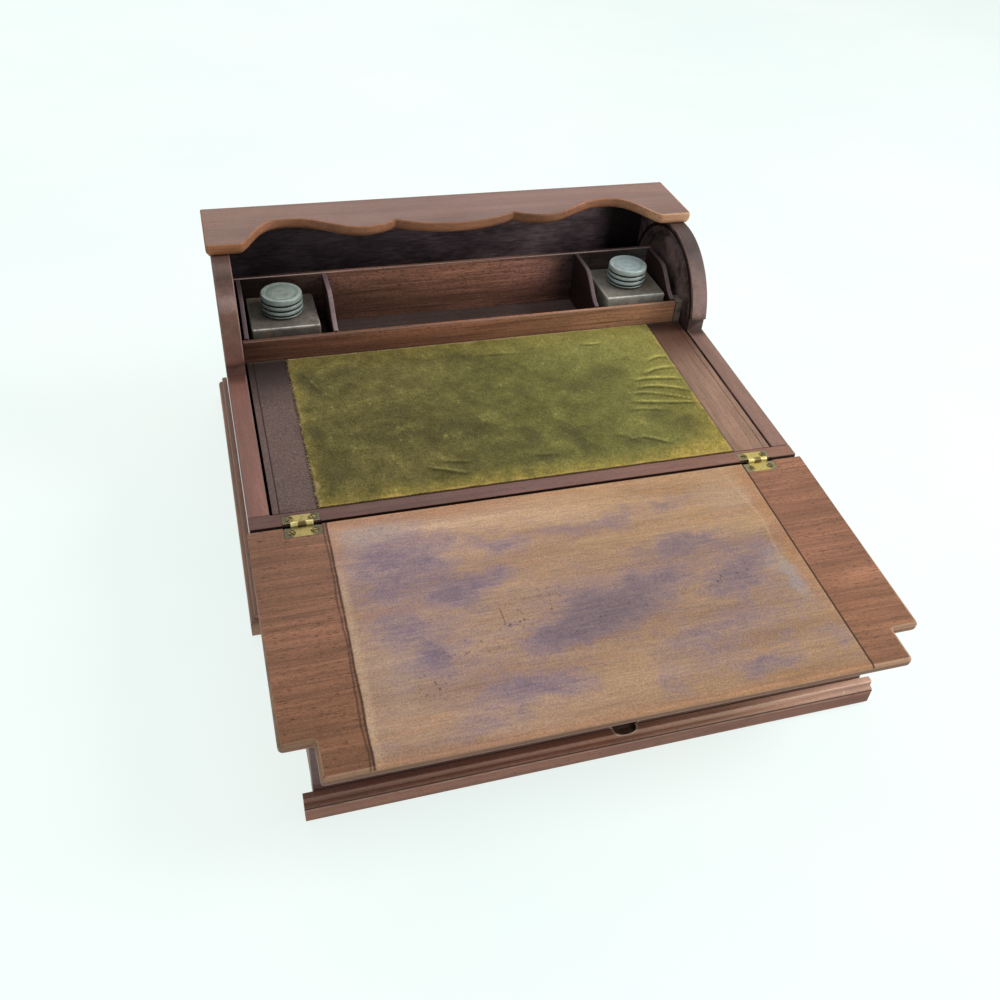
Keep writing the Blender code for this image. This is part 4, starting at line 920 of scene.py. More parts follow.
FACE_EDGE = wood("mahogany_drawer_edge", *tones(116, 82, 72, 0.12), seed=14.5, pore=0.3, rough=(0.36, 0.5), paint=face_paint)
LINING = wood("drawer_lining_wood", *tones(158, 122, 90, 0.12), along="Y", seed=15.0, streak=0.16, pore=0.25, rough=(0.6, 0.75), dust=(0.2, srgb(96, 80, 66)))
LINING_EDGE = wood("drawer_lining_edge", *tones(148, 112, 82, 0.12), along="Y", seed=15.5, pore=0.2, rough=(0.6, 0.75))
FLAP = wood("flap_mahogany", *tones(150, 104, 80, 0.16), seed=16.0, streak=0.34, pore=0.9, blotch=0.16, grain=0.26, rough=(0.38, 0.5), paint=flap_paint)
FLAP_EDGE = wood("flap_edge", *tones(171, 134, 110, 0.12), seed=16.5, streak=0.18, pore=0.45, rough=(0.4, 0.54), paint=flap_paint)
SLAT = wood("mahogany_slat", *tones(118, 78, 62, 0.18), seed=17.0, streak=0.22, pore=0.4, rough=(0.38, 0.5))
SLAT_EDGE = wood("mahogany_slat_edge", *tones(98, 64, 52, 0.14), seed=17.4, pore=0.25)
SCREW = metal("brass_screw", srgb(150, 132, 84), srgb(52, 48, 36), rough=(0.4, 0.65), grime=0.85, scale=500.0, metallic=0.7)
PIN = metal("brass_pin", srgb(120, 104, 66), srgb(44, 40, 30), rough=(0.4, 0.65), grime=0.8, scale=500.0, metallic=0.8)
CAP_GROOVE = metal("pewter_groove", srgb(34, 40, 40), srgb(16, 20, 20), rough=(0.6, 0.8), grime=0.7, scale=160.0, metallic=0.2)
VELVET = velvet_look()
CANVAS = cloth_look("canvas_backing", srgb(54, 48, 44), srgb(92, 84, 76))


def hinge_look(name, centre, yellow, dirt, pale=False):
    """Dirty brass: yellow between the screws, grey-green corners, rubbed outer knuckles and a dark middle one."""
    look = Look(name)
    x, y, z = look.xyz(look.shifted(0.0012, 700.0, 2.0))
    cloud = look.noise(look.place, 420.0, 4.0, 0.7)
    fine = look.noise(look.place, 2600.0, 3.0, 0.7)
    off = look.math("ABSOLUTE", look.math("SUBTRACT", x, centre * MM))
    corner = look.fit(off, 0.0042, 0.0072)
    dirty = look.math("MAXIMUM", look.math("MULTIPLY", corner, 0.92), look.fit(cloud, 0.52, 0.70, 0.0, 0.6))
    grey = look.mix(look.fit(fine, 0.35, 0.65), look.times(dirt, 0.7), look.times(dirt, 2.1))
    colour = look.mix(dirty, yellow, grey)
    colour = look.times(colour, look.fit(fine, 0.25, 0.75, 0.78, 1.22, False))
    # knuckles
    dy, dz = look.math("SUBTRACT", y, AXIS_Y * MM), look.math("SUBTRACT", z, AXIS_Z * MM)
    away = look.math("SQRT", look.math("ADD", look.math("MULTIPLY", dy, dy), look.math("MULTIPLY", dz, dz)))
    knuckle = look.math("MULTIPLY", look.fit(away, 0.00165, 0.0020, 1.0, 0.0), look.fit(z, 0.0780, 0.0786))
    middle = look.fit(off, 0.0018, 0.0023, 1.0, 0.0)
    rubbed = look.mix(look.fit(fine, 0.3, 0.7), srgb(222, 200, 110), srgb(250, 240, 180))
    rubbed = look.mix(look.math("MULTIPLY", middle, 0.92), rubbed, look.mix(look.fit(fine, 0.5, 0.68), srgb(70, 44, 30), srgb(170, 140, 96)))
    colour = look.mix(look.math("MULTIPLY", knuckle, 0.92), colour, rubbed)
    glint = look.math("MULTIPLY", look.fit(look.cells(look.place, 900.0), 0.10, 0.2, 1.0, 0.0), look.fit(cloud, 0.5, 0.6))
    colour = look.mix(look.math("MULTIPLY", glint, 0.8), colour, srgb(236, 232, 206))
    if pale:
        colour = look.mix(look.fit(fine, 0.3, 0.7, 0.25, 0.75), colour, srgb(206, 200, 160))
    look.bump(look.math("ADD", cloud, look.math("MULTIPLY", fine, 0.5)), 0.3, 0.0002)
    return look.done(colour, look.fit(dirty, 0.0, 1.0, 0.34, 0.62, False), look.fit(dirty, 0.0, 1.0, 0.75, 0.3, False))


def inkwell_look(name, top, front, seed, edge=False):
    """A worn painted tin box: brown patches on the top, scuffed front, paint gone at the edges, and on the edges a
    painted highlight along the front's upper edge.
    """
    look = Look(name)
    up = look.fit(look.xyz(look.facing)[2], 0.4, 0.8)
    shift = (seed, seed * 1.7, 0.3)
    cloud = look.noise(look.scaled((1, 1, 1), shift), 130.0, 5.0, 0.68)
    patch = look.noise(look.scaled((1, 1, 1), shift), 46.0, 4.0, 0.6)
    fine = look.noise(look.scaled((1, 1, 1), shift), 1100.0, 3.0, 0.72)
    colour = look.mix(up, front, top)
    colour = look.times(colour, look.fit(cloud, 0.28, 0.72, 0.62, 1.42, False))
    rust = look.math("MULTIPLY", look.fit(patch, 0.5, 0.66), look.fit(cloud, 0.38, 0.62, 0.3, 1.0))
    colour = look.mix(look.math("MULTIPLY", rust, 0.55), colour, look.times(colour, (1.35, 1.0, 0.72, 1.0)))
    colour = look.times(colour, look.fit(fine, 0.25, 0.75, 0.78, 1.24, False))
    bare = look.math("MULTIPLY", look.fit(look.cells(look.place, 330.0), 0.05, 0.14, 1.0, 0.0), look.fit(cloud, 0.52, 0.64))
    colour = look.mix(look.math("MULTIPLY", bare, 0.75), colour, srgb(170, 170, 164))
    if edge:
        # painted highlight along the front's upper edge
        nx, ny, nz = look.xyz(look.facing)
        bright = look.math("MULTIPLY", look.line(nz, 0.80, 0.08, 0.10), look.fit(ny, -0.5, -0.2, 1.0, 0.25))
        bright = look.math("MULTIPLY", bright, look.fit(cloud, 0.36, 0.56, 0.25, 1.0))
        colour = look.mix(look.math("MULTIPLY", bright, 0.9), colour, srgb(226, 226, 218))
    look.bump(look.math("ADD", cloud, look.math("MULTIPLY", fine, 0.4)), 0.35, 0.0004)
    return look.done(colour, look.fit(cloud, 0.3, 0.7, 0.62, 0.4, False), 0.25)


def cap_look(name, x, y, top, side, bright, seed):
    """Turned pewter, dull and grey-green: fine rings on the top, a painted highlight on the raised rim ring, and ridge
    crests paler, partly rubbed and partly painted highlight.
    """
    look = Look(name)
    up = look.fit(look.xyz(look.facing)[2], 0.35, 0.8)
    shift = (seed, seed * 2.3, 0.1)
    px, py, pz = look.xyz()
    dx, dy = look.math("SUBTRACT", px, x * MM), look.math("SUBTRACT", py, y * MM)
    radius = look.math("SQRT", look.math("ADD", look.math("MULTIPLY", dx, dx), look.math("MULTIPLY", dy, dy)))
    polar = look.node("ShaderNodeCombineXYZ")
    look.put(polar.inputs[0], radius)
    look.put(polar.inputs[1], look.math("MULTIPLY", pz, 0.6))
    rings = look.noise(polar.outputs[0], 1500.0, 2.0, 0.6)
    cloud = look.noise(look.scaled((1, 1, 1), shift), 170.0, 5.0, 0.68)
    fine = look.noise(look.scaled((1, 1, 1), shift), 1300.0, 3.0, 0.7)
    colour = look.mix(up, side, top)
    colour = look.times(colour, look.fit(rings, 0.3, 0.7, 0.86, 1.12, False))
    colour = look.times(colour, look.fit(cloud, 0.28, 0.72, 0.78, 1.2, False))
    colour = look.times(colour, look.fit(fine, 0.25, 0.75, 0.86, 1.15, False))
    groove = look.math("MULTIPLY", up, look.line(radius, 0.0100, 0.0002, 0.0003))
    colour = look.mix(look.math("MULTIPLY", groove, 0.6), colour, look.times(colour, 0.55))
    # painted highlight on the raised rim ring; the ridge crests paler, partly rubbed and partly painted highlight
    rim = look.math("MULTIPLY", look.line(radius, 0.0126, 0.0003, 0.0006), look.math("MULTIPLY", up, look.fit(cloud, 0.35, 0.6, 0.2, 1.0)))
    colour = look.mix(look.math("MULTIPLY", rim, 0.55), colour, srgb(196, 208, 206))
    ridge = look.math("MULTIPLY", look.fit(radius, 0.01385, 0.0140), look.fit(cloud, 0.35, 0.6, 0.2, 1.0))
    colour = look.mix(look.math("MULTIPLY", ridge, bright), colour, srgb(188, 198, 196))
    stain = look.math("MULTIPLY", look.fit(look.noise(look.scaled((1, 1, 1), shift), 90.0, 3.0), 0.56, 0.68), 0.3)
    colour = look.mix(stain, colour, srgb(126, 116, 92))
    look.bump(look.math("ADD", look.math("MULTIPLY", rings, 0.6), look.math("MULTIPLY", cloud, 0.6)), 0.25, 0.0003)
    return look.done(colour, look.fit(cloud, 0.3, 0.7, 0.58, 0.4, False), 0.35)


INKWELLS = {"left": (-127.7, 64.3), "right": (124.3, 64.3)}
INK_BODY = {"left": inkwell_look("inkwell_left_tin", srgb(112, 105, 96), srgb(105, 99, 91), 0.2), "right": inkwell_look("inkwell_right_tin", srgb(131, 126, 116), srgb(170, 168, 156), 0.9)}
INK_EDGE = {
    "left": inkwell_look("inkwell_left_edge", srgb(126, 119, 109), srgb(120, 113, 103), 1.2, True),
    "right": inkwell_look("inkwell_right_edge", srgb(160, 156, 146), srgb(164, 160, 149), 1.9, True),
}
# the right cap has lighter colours than the left: painted light from the right
CAPS = {
    "left": cap_look("pewter_left", *INKWELLS["left"], srgb(139, 152, 144), srgb(143, 158, 153), 0.35, 0.4),
    "right": cap_look("pewter_right", *INKWELLS["right"], srgb(167, 183, 184), srgb(184, 200, 195), 0.7, 1.4),
}
HINGES = {
    "left": (hinge_look("brass_left", -141.5, srgb(149, 134, 80), srgb(80, 74, 56)), hinge_look("brass_left_rim", -141.5, srgb(176, 156, 92), srgb(104, 100, 80), True)),
    "right": (hinge_look("brass_right", 141.5, srgb(213, 192, 110), srgb(104, 100, 77)), hinge_look("brass_right_rim", 141.5, srgb(220, 200, 120), srgb(140, 136, 108), True)),
}


def cork_look():
    look = Look("cork_wad")
    cell = look.cells(look.place, 900.0)
    cloud = look.noise(look.place, 260.0, 4.0, 0.65)
    colour = look.ramp(cloud, [(0.32, srgb(86, 56, 34)), (0.55, srgb(160, 118, 78)), (0.75, srgb(186, 146, 102))])
    colour = look.times(colour, look.fit(cell, 0.0, 0.5, 0.7, 1.1, False))
    look.bump(cell, 0.4, 0.0003)
    return look.done(colour, 0.85)


CORK = cork_look()

# ---- boards ----------------------------------------------------------------------------------------------------------
# the top board's front, from the upper face round to the lower one: how far in, and height
TOP_NOSE = [(1.1, 150.3), (0.72, 150.22), (0.3, 149.96), (0.07, 149.55), (0.0, 149.1), (0.0, 146.4), (0.12, 145.4)]
TOP_NOSE += [(0.5, 144.4), (1.15, 143.5), (2.0, 142.83), (2.9, 142.43), (3.8, 142.3)]


def scalloped_board():
    """The top board, rounded below along its scalloped front."""
    bm = welded("top_board")
    face = max((f for f in bm.faces if f.normal.z > 0.9), key=lambda f: f.calc_area())
    outline = [(v.co.x / MM, v.co.y / MM) for v in face.verts]
    bm.free()
    count = len(outline)
    after = lambda k: outline[(k + 1) % count]
    inward, limit = [], []
    for k, (x, y) in enumerate(outline):
        (px, py), (nx, ny) = outline[k - 1], after(k)
        long = math.hypot(nx - x, ny - y)
        inward.append(((y - ny) / long, (nx - x) / long, 0.0 if min(y, ny) > 128.0 else 1.0))
        bend = (x - px) * (ny - y) - (y - py) * (nx - x)
        around = math.hypot(x - px, y - py) * long * math.hypot(nx - px, ny - py)
        limit.append(0.8 * around / (2 * bend) if bend > 1e-9 else 99.0)
    # tight outward bends take a smaller round, and their neighbours work up from it
    for _ in range(8):
        for k in range(count):
            for j in (k - 1, (k + 1) % count):
                step = math.hypot(outline[k][0] - outline[j][0], outline[k][1] - outline[j][1])
                limit[k] = min(limit[k], limit[j] + 0.5 * step)
    bm = bmesh.new()
    rings = []
    for inset, z in TOP_NOSE:
        ring = []
        for k, (x, y) in enumerate(outline):
            (ax, ay, aw), (bx, by, bw) = inward[k - 1], inward[k]
            d = min(inset, limit[k])
            det = ax * by - ay * bx
            if abs(det) < 0.03:
                mx, my = (ax + bx) / 2 * d * max(aw, bw), (ay + by) / 2 * d * max(aw, bw)
            else:
                mx, my = d * (aw * by - bw * ay) / det, d * (bw * ax - aw * bx) / det
            ring.append(bm.verts.new(((x + mx) * MM, (y + my) * MM, z * MM)))
        rings.append(ring)
    bm.faces.new(rings[0])
    bm.faces.new(list(reversed(rings[-1])))
    for upper, lower in zip(rings, rings[1:]):
        for k in range(count):
            j = (k + 1) % count
            made = bm.faces.new((upper[k], lower[k], lower[j], upper[j]))
            made.material_index = 1 if inward[k][2] else 0
    bm.normal_update()
    return dress(link("top_board_look", bm, [TOP, TOP_EDGE], 50.0), "top_board")


scalloped_board()


def rim_edge(at, long):
    """Edges of a side board, but for the shutter's groove and the foot of the curve."""
    away = math.hypot(at.y - 66.5, at.z - 94.0)
    in_groove = 36.0 < away < 44.5 and abs(at.x) < 162.0
    in_foot = 8.0 < at.y < 22.0 and at.z < 95.0
    return not in_groove and not in_foot


for word, look in (("left", SIDE_L), ("right", SIDE_R)):
    refine(f"side_board_{word}", look, SIDE_EDGE, bevel=0.7, chosen=rim_edge)
    refine(f"inner_cheek_{word}", PANEL, None, bevel=0.2, segments=1, chosen=lambda at, long: abs(at.x) > 153.0)
    refine(f"plinth_{word}", PLINTH, PLINTH_EDGE, bevel=0.35, angle=40.0)
    refine(f"divider_{word}", DIVIDER, DIVIDER_EDGE, bevel=0.6, faced=lambda n, at: n.z > 0.4 and at.z > 95.0)
    refine(f"well_side_{word}", DIVIDER, DIVIDER_EDGE, bevel=0.6, faced=lambda n, at: n.z > 0.4 and at.z > 95.0 and at.x < 152.6)
    refine(f"drawer_side_{word}", LINING, LINING_EDGE, bevel=0.5)
refine("front_rail", RAIL, RAIL_EDGE, bevel=0.45, chosen=lambda at, long: long > 9.0 and abs(abs(at.x) - 141.5) > 12.0)
refine("writing_panel", PANEL, None, bevel=0.3, segments=1, chosen=lambda at, long: abs(at.x) < 150.0)
refine("tray_front_rail", TRAY, TRAY_EDGE, bevel=0.7)
refine("tray_rear_wall", WALL, WALL_EDGE, bevel=0.6)
refine("tray_floor", TRAY_FLOOR, None, bevel=0.0)
closed = refine("back_board", BACK, None, bevel=0.4, segments=1)
for vert in closed.data.vertices:
    vert.co.x *= 158.2 / 157.7  # tight between the sides, so that no light shows past it
refine("bottom_board", BASE, None, bevel=0.4, segments=1)
refine("drawer_front", FACE, FACE_EDGE, bevel=0.5, chosen=lambda at, long: long > 9.0)
refine("drawer_moulding", MOULD, MOULD_EDGE, bevel=0.4, angle=40.0, chosen=lambda at, long: long > 5.0)
refine("drawer_back", LINING, LINING_EDGE, bevel=0.5)
refine("drawer_bottom", LINING, None, bevel=0.0)
refine("flap_board", FLAP, FLAP_EDGE, bevel=0.0, nose=(1.9, 5, lambda at, long: at.y < -139.0))
refine("shutter_lead_rail", SLAT, SLAT_EDGE, bevel=0.3)
for number in range(1, 13):
    refine(f"shutter_slat_{number:02d}", SLAT, SLAT_EDGE, bevel=0.45)

# ---- hinges ----------------------------------------------------------------------------------------------------------
for word in ("left", "right"):
    for leaf in ("case", "flap"):
        refine(f"hinge_{leaf}_leaf_{word}", *HINGES[word], bevel=0.16, segments=1, chosen=lambda at, long: long > 1.8)
    refine(f"hinge_pin_{word}", PIN, None, bevel=0.0)


def slotted_screw(node, drop, angle, turn):
    """A countersunk screw with a slot across its head."""
    low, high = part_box(node)
    x = (low.x + high.x) / 2 / MM
    direction = 1 if node.startswith("case") else -1
    along = 5.2 if direction > 0 else -5.6
    length = 9.0 if direction > 0 else 4.6
    top = AXIS_Z - drop
    profile = [(0.0, top, 0), (1.7, top, 0), (2.0, top - 0.08, 0), (2.1, top - 0.22, 0), (0.95, top - 1.15, 0)]
    profile += [(0.95, top - length + 0.8, 0), (0.0, top - length, 0)]
    piece = turned(node + "_look", profile, 24, x, AXIS_Y + along, [SCREW])
    bm = bmesh.new()
    bmesh.ops.create_cube(bm, size=1.0)
    bmesh.ops.scale(bm, vec=(5.0 * MM, 0.55 * MM, 1.1 * MM), verts=bm.verts)
    bmesh.ops.rotate(bm, verts=bm.verts, matrix=Matrix.Rotation(turn, 3, "Z"))
    bmesh.ops.translate(bm, verts=bm.verts, vec=(x * MM, (AXIS_Y + along) * MM, top * MM))
    mesh = bpy.data.meshes.new("slot")
    bm.to_mesh(mesh)
    bm.free()
    tool = bpy.data.objects.new("slot", mesh)
    scene.collection.objects.link(tool)
    slit = piece.modifiers.new("slot", "BOOLEAN")
    slit.object = tool
    slit.solver = "EXACT"
    bpy.context.view_layer.update()
    graph = bpy.context.evaluated_depsgraph_get()
    done = bpy.data.meshes.new_from_object(piece.evaluated_get(graph))
    piece.modifiers.clear()
    piece.data = done
    bpy.data.objects.remove(tool, do_unlink=True)
    pivot = Matrix.Translation((0.0, AXIS_Y * MM, AXIS_Z * MM))
    done.transform(pivot @ Matrix.Rotation(angle, 4, "X") @ pivot.inverted())
    return dress(piece, node)


case_drop = 1.2 * math.sin(RISE) + 0.6 * math.cos(RISE)
flap_drop = 1.2 * math.sin(FALL) + 0.6 * math.cos(FALL)
for k, (word, number) in enumerate((w, n) for w in ("left", "right") for n in (1, 2)):
    slotted_screw(f"case_screw_{word}_{number}", case_drop, RISE, 0.8 + 1.1 * k)
    slotted_screw(f"flap_screw_{word}_{number}", flap_drop, FALL, 2.3 + 0.9 * k)

# ---- inkwells --------------------------------------------------------------------------------------------------------
def cap_profile():
    """Flat top with a shallow ring, three ridges parted by thin dark grooves, and the bore."""
    points = [(0.0, 117.85, 0), (3.0, 117.85, 0), (3.3, 117.78, 0), (3.6, 117.85, 0), (9.5, 117.84, 0), (9.9, 117.70, 0), (10.4, 117.86, 0)]
    points += [(11.6, 117.98, 0), (12.7, 118.0, 0), (13.3, 117.85, 0), (13.7, 117.5, 0), (13.85, 117.0, 0)]
    first, last = 116.6, 105.6
    pitch = (first - last) / 3
    for k in range(3):
        top = first - k * pitch
        points += [(13.95, top - 0.05 * pitch, 0), (14.0, top - 0.3 * pitch, 0), (13.95, top - 0.48 * pitch, 0), (13.75, top - 0.58 * pitch, 0)]
        points += [(13.05, top - 0.68 * pitch, 1), (13.05, top - 0.84 * pitch, 1), (13.7, top - 0.93 * pitch, 1)]
    points += [(13.95, last, 0), (13.8, 105.15, 0), (13.3, 105.0, 0), (11.25, 105.0, 1), (11.25, 115.55, 1), (0.0, 115.55, 1)]
    return points


for word, (x, y) in INKWELLS.items():
    dress(turned(f"inkwell_cap_{word}_look", cap_profile(), 72, x, y, [CAPS[word], CAP_GROOVE], 50.0), f"inkwell_cap_{word}")
    wad = [(0.0, 115.2, 0), (9.6, 115.2, 0), (9.9, 114.9, 0), (9.9, 113.8, 0), (9.6, 113.55, 0), (0.0, 113.55, 0)]
    dress(turned(f"inkwell_wad_{word}_look", wad, 40, x, y, [CORK]), f"inkwell_wad_{word}")
    refine(
        f"inkwell_{word}",
        INK_BODY[word],
        INK_EDGE[word],
        bevel=0.0,
        sharp=40.0,
        faced=lambda n, at, x=x, y=y: max(abs(at.x - x) / 23.0, abs(at.y - y) / 22.2) > 0.9 and max(abs(c) for c in n) < 0.985,
    )

# ---- velvet ----------------------------------------------------------------------------------------------------------
# each wrinkle: three places it passes through, its height and its half width
WRINKLES = [
    ((110, -16), (121, -10), (131, -11.5), 0.55, 1.9),
    ((103, -29), (115, -23.5), (131, -23.5), 0.65, 2.0),
    ((94, -34), (108, -33), (131, -37.5), 0.68, 2.0),
    ((91, -43), (109, -42.2), (131, -52), 0.68, 1.9),
    ((87.5, -49), (101, -48.5), (131, -62.5), 0.6, 1.8),
    ((82.5, -54.6), (102, -59), (131, -64), 0.68, 2.0),
    ((80, -64), (92, -64.4), (110, -70), 0.5, 1.9),
    ((79, -91), (87, -95.4), (96, -101.5), 0.62, 1.8),
    ((67, -93), (76, -91.4), (88, -93), 0.45, 1.7),
    ((58, -84), (69, -89), (79, -97.5), 0.35, 2.0),
    ((-65, -92.3), (-51, -98.6), (-36, -104.8), 0.68, 1.9),
    ((-55, -88.8), (-44, -91.5), (-33, -93.8), 0.5, 1.9),
    ((71, 15), (79, 13.2), (91, 13.5), 0.5, 1.6),
    ((-8, 14), (11, 12.6), (32, 11), 0.35, 1.7),
    ((-123, 16), (-118, 4), (-113, -11), 0.5, 2.4),
    ((41, -75), (42, -86), (44, -95), 0.35, 1.9),
    ((2, -95), (12, -95.5), (22, -97), 0.4, 1.8),
]


def courses():
    """Each wrinkle as points along its curve, with the box that it can reach."""
    out = []
    for a, b, c, high, wide in WRINKLES:
        mx, my = 2 * b[0] - (a[0] + c[0]) / 2, 2 * b[1] - (a[1] + c[1]) / 2
        points = []
        for k in range(25):
            t = k / 24
            u = 1 - t
            ends = min(1.0, 3.5 * t + 0.1) if c[0] > 129 else min(1.0, 4.0 * t, 4.0 * (1 - t))
            points.append((u * u * a[0] + 2 * u * t * mx + t * t * c[0], u * u * a[1] + 2 * u * t * my + t * t * c[1], ends))
        reach = 3.0 * wide
        xs, ys = [p[0] for p in points], [p[1] for p in points]
        out.append((min(xs) - reach, max(xs) + reach, min(ys) - reach, max(ys) + reach, points, high, wide))
    return out


COURSES = courses()


def wrinkle_height(x, y):
    """Height of the folds: steep in front of each ridge, easier behind it."""
    total = 0.0
    for x0, x1, y0, y1, points, high, wide in COURSES:
        if x0 < x < x1 and y0 < y < y1:
            d, px, py, ends = min((math.hypot(x - px, y - py), px, py, ends) for px, py, ends in points)
            spread = wide * (0.62 if y < py else 1.15)
            total = max(total, high * ends * math.exp(-((d / spread) ** 2)))
    return total


def velvet():
    half, y0, y1 = 130.7, -115.7, 31.5
    # finer where the folds are
    xs = [-half + (76.0 + half) * i / 165 for i in range(165)] + [76.0 + (half - 76.0) * i / 70 for i in range(71)]
    across, deep = len(xs) - 1, 168
    bm = bmesh.new()
    rows = []
    for j in range(deep + 1):
        row = []
        for i in range(across + 1):
            x, v = xs[i], j / deep
            u = (x + half) / (2 * half)
            y = y0 + (y1 - y0) * v
            fade_x = max(0.0, 1 - min(u, 1 - u) * 40)
            fade_y = max(0.0, 1 - min(v, 1 - v) * 30)
            x -= fade_x * (0.35 + 0.35 * noise.noise(Vector((y * 0.11, 3.0, u)))) * (1 if u > 0.5 else -1)
            y -= fade_y * (0.3 + 0.3 * noise.noise(Vector((x * 0.09, 7.0, v)))) * (1 if v > 0.5 else -1)
            swell = 0.10 * noise.noise(Vector((x * 0.035, y * 0.035, 1.0))) + 0.05 * noise.noise(Vector((x * 0.14, y * 0.14, 4.0)))
            edge = max(fade_x, fade_y)
            lift = 0.50 + (swell + wrinkle_height(x, y)) * (1 - 0.75 * edge)
            row.append(bm.verts.new((x * MM, y * MM, (panel_z(y) + min(1.22, lift)) * MM)))
        rows.append(row)
    for near, far in zip(rows, rows[1:]):
        for i in range(across):
            bm.faces.new((near[i], near[i + 1], far[i + 1], far[i]))
    piece = link("writing_velvet_look", bm, [VELVET], 80.0, weighted=False)
    thick = piece.modifiers.new("thickness", "SOLIDIFY")
    thick.thickness = 0.32 * MM
    thick.offset = -1.0
    return dress(piece, "writing_velvet")


def fringe():
    """Loose threads along the velvet's cut edges."""
    random.seed(11)
    bm = bmesh.new()

    def thread(x, y, dx, dy, long, lift):
        side = Vector((-dy, dx, 0.0)) * 0.07
        bend = random.uniform(-0.9, 0.9)
        last = None
        for k in range(5):
            t = k / 4
            px = x + dx * long * t - dy * bend * t * t
            py = y + dy * long * t + dx * bend * t * t
            pz = panel_z(py) + 0.45 + lift * math.sin(math.pi * t * 0.8) - 0.1 * t
            at = Vector((px, py, pz))
            width = side * (1 - 0.6 * t)
            pair = (bm.verts.new((at - width) * MM), bm.verts.new((at + width) * MM))
            if last:
                bm.faces.new((last[0], last[1], pair[1], pair[0]))
            last = pair

    half, y0, y1 = 130.2, -115.2, 31.0
    for _ in range(240):
        thread(-half, random.uniform(y0, y1), -1.0, random.uniform(-0.8, 0.8), random.uniform(0.4, 1.9), random.uniform(0.0, 0.35))
    for _ in range(230):
        thread(random.uniform(-half, 40.0), y1, random.uniform(-0.8, 0.8), 0.8, random.uniform(0.3, 0.5), random.uniform(0.0, 0.3))
    for _ in range(200):
        thread(random.uniform(-half, half), y0, random.uniform(-0.9, 0.9), -0.25, random.uniform(0.4, 1.0), random.uniform(0.0, 0.25))
    for _ in range(70):
        thread(half, random.uniform(y0, y1), 1.0, random.uniform(-0.8, 0.8), random.uniform(0.3, 0.9), random.uniform(0.0, 0.2))
    return bm


def thread_look():
    look = Look("velvet_threads")
    cloud = look.noise(look.place, 300.0, 3.0)
    colour = look.ramp(cloud, [(0.35, srgb(140, 120, 70)), (0.65, srgb(198, 174, 118))])
    return look.done(colour, 0.85, Specular_IOR_Level=0.15)


cloth = velvet()
threads = link("velvet_fringe", fringe(), [thread_look()], 80.0, weighted=False)
body = threads.modifiers.new("thickness", "SOLIDIFY")
body.thickness = 0.08 * MM
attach(threads, "case")

# ---- shutter canvas --------------------------------------------------------------------------------------------------
def canvas():
    """The cloth on the inner side of the slats, following each slat with a slight sag between them."""
    cy, cz, start, end, half = 66.5, 94.0, 76.0, 207.4, 157.4
    steps, across = 132, 40
    bm = bmesh.new()
    rows = []
    for k in range(steps + 1):
        degrees = start + (end - start) * k / steps
        t = math.radians(degrees)
        r = 39.72 - 0.12 * abs(math.sin(math.pi * (degrees - 88.0) / 10.0))
        row = []
        for i in range(across + 1):
            x = -half + 2 * half * i / across
            ripple = 0.05 * noise.noise(Vector((x * 0.06, degrees * 0.25, 2.0)))
            row.append(bm.verts.new((x * MM, (cy + (r + ripple) * math.sin(t)) * MM, (cz + (r + ripple) * math.cos(t)) * MM)))
        rows.append(row)
    for near, far in zip(rows, rows[1:]):
        for i in range(across):
            bm.faces.new((near[i], near[i + 1], far[i + 1], far[i]))
    bmesh.ops.recalc_face_normals(bm, faces=bm.faces)
    piece = link("shutter_canvas_look", bm, [CANVAS], 80.0, weighted=False)
    thick = piece.modifiers.new("thickness", "SOLIDIFY")
    thick.thickness = 0.25 * MM
    thick.offset = 0.0
    return dress(piece, "shutter_canvas")


backing = canvas()

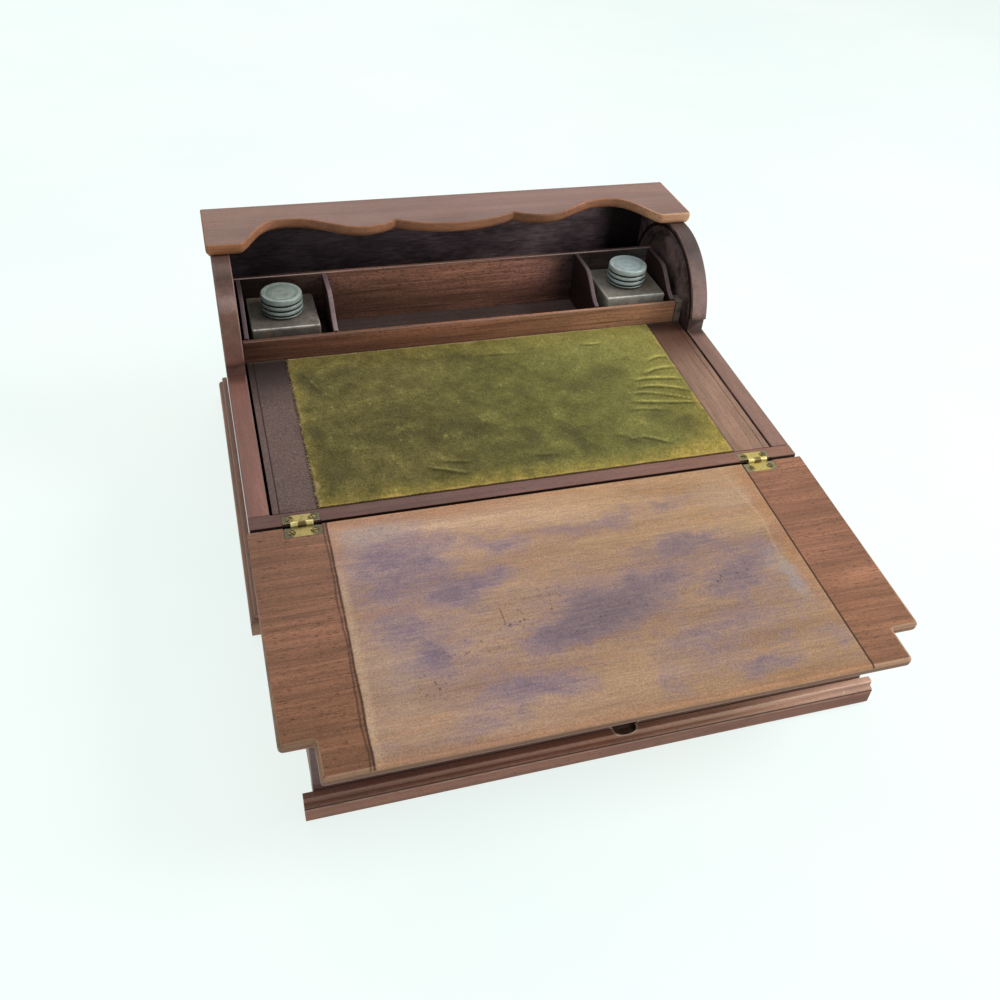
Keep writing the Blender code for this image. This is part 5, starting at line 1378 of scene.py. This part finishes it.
# ---- floor, light and camera -----------------------------------------------------------------------------------------
def floor_look():
    """Pale paper that glows a little, as a white floor does in a bright photograph."""
    look = Look("pale_floor")
    cloud = look.noise(look.place, 3.5, 4.0, 0.6)
    fine = look.noise(look.place, 260.0, 2.0)
    colour = look.ramp(cloud, [(0.3, srgb(124, 132, 131)), (0.7, srgb(130, 136, 134))])
    glow = look.ramp(cloud, [(0.3, srgb(243, 255, 252)), (0.7, srgb(247, 255, 251))])
    x, y, z = look.xyz()
    glow = look.times(glow, look.math("MULTIPLY", look.fit(x, 0.15, 0.5, 1.02, 0.95), look.fit(y, 0.2, 0.7, 1.0, 0.965)))
    look.bump(fine, 0.04, 0.0003)
    return look.done(colour, 0.85, Specular_IOR_Level=0.1, Emission_Color=glow, Emission_Strength=0.79)


bm = bmesh.new()
bmesh.ops.create_grid(bm, x_segments=4, y_segments=4, size=6.0)
floor = link("floor", bm, [floor_look()], weighted=False)
floor.location.z = -0.0002

world = bpy.data.worlds.new("soft_room")
world.use_nodes = True
sky = world.node_tree.nodes["Background"]
sky.inputs["Color"].default_value = (0.97, 0.99, 1.0, 1.0)
sky.inputs["Strength"].default_value = 0.5
scene.world = world


def soft_light(name, at, target, size, power, colour):
    data = bpy.data.lights.new(name, "AREA")
    data.shape = "RECTANGLE"
    data.size, data.size_y = size
    data.energy = power
    data.color = colour
    lamp = bpy.data.objects.new(name, data)
    lamp.location = at
    lamp.rotation_euler = (Vector(target) - Vector(at)).to_track_quat("-Z", "Y").to_euler()
    scene.collection.objects.link(lamp)


soft_light("window", (1.45, -0.35, 1.1), (0.0, 0.0, 0.06), (0.8, 0.8), 24.0, (1.0, 0.99, 0.97))
soft_light("room", (0.2, 1.7, 1.6), (0.0, 0.0, 0.05), (1.8, 1.4), 13.0, (1.0, 0.99, 0.97))

data = bpy.data.cameras.new("camera")
data.sensor_fit = "HORIZONTAL"
data.sensor_width = 36.0
data.lens = 36.0 * 989.51 / 1000.0
data.clip_start = 0.01
camera = bpy.data.objects.new("camera", data)
yaw, pitch, roll = math.radians(19.13), math.radians(40.369), math.radians(-4.629)
right = Vector((math.cos(yaw), -math.sin(yaw), 0.0))
ahead = Vector((math.sin(yaw) * math.cos(pitch), math.cos(yaw) * math.cos(pitch), -math.sin(pitch)))
down = ahead.cross(right)
across = right * math.cos(roll) + down * math.sin(roll)
below = -right * math.sin(roll) + down * math.cos(roll)
turn = Matrix((across, -below, -ahead)).transposed().to_4x4()
camera.matrix_world = Matrix.Translation((-0.17146, -0.54451, 0.45161)) @ turn
scene.collection.objects.link(camera)
scene.camera = camera
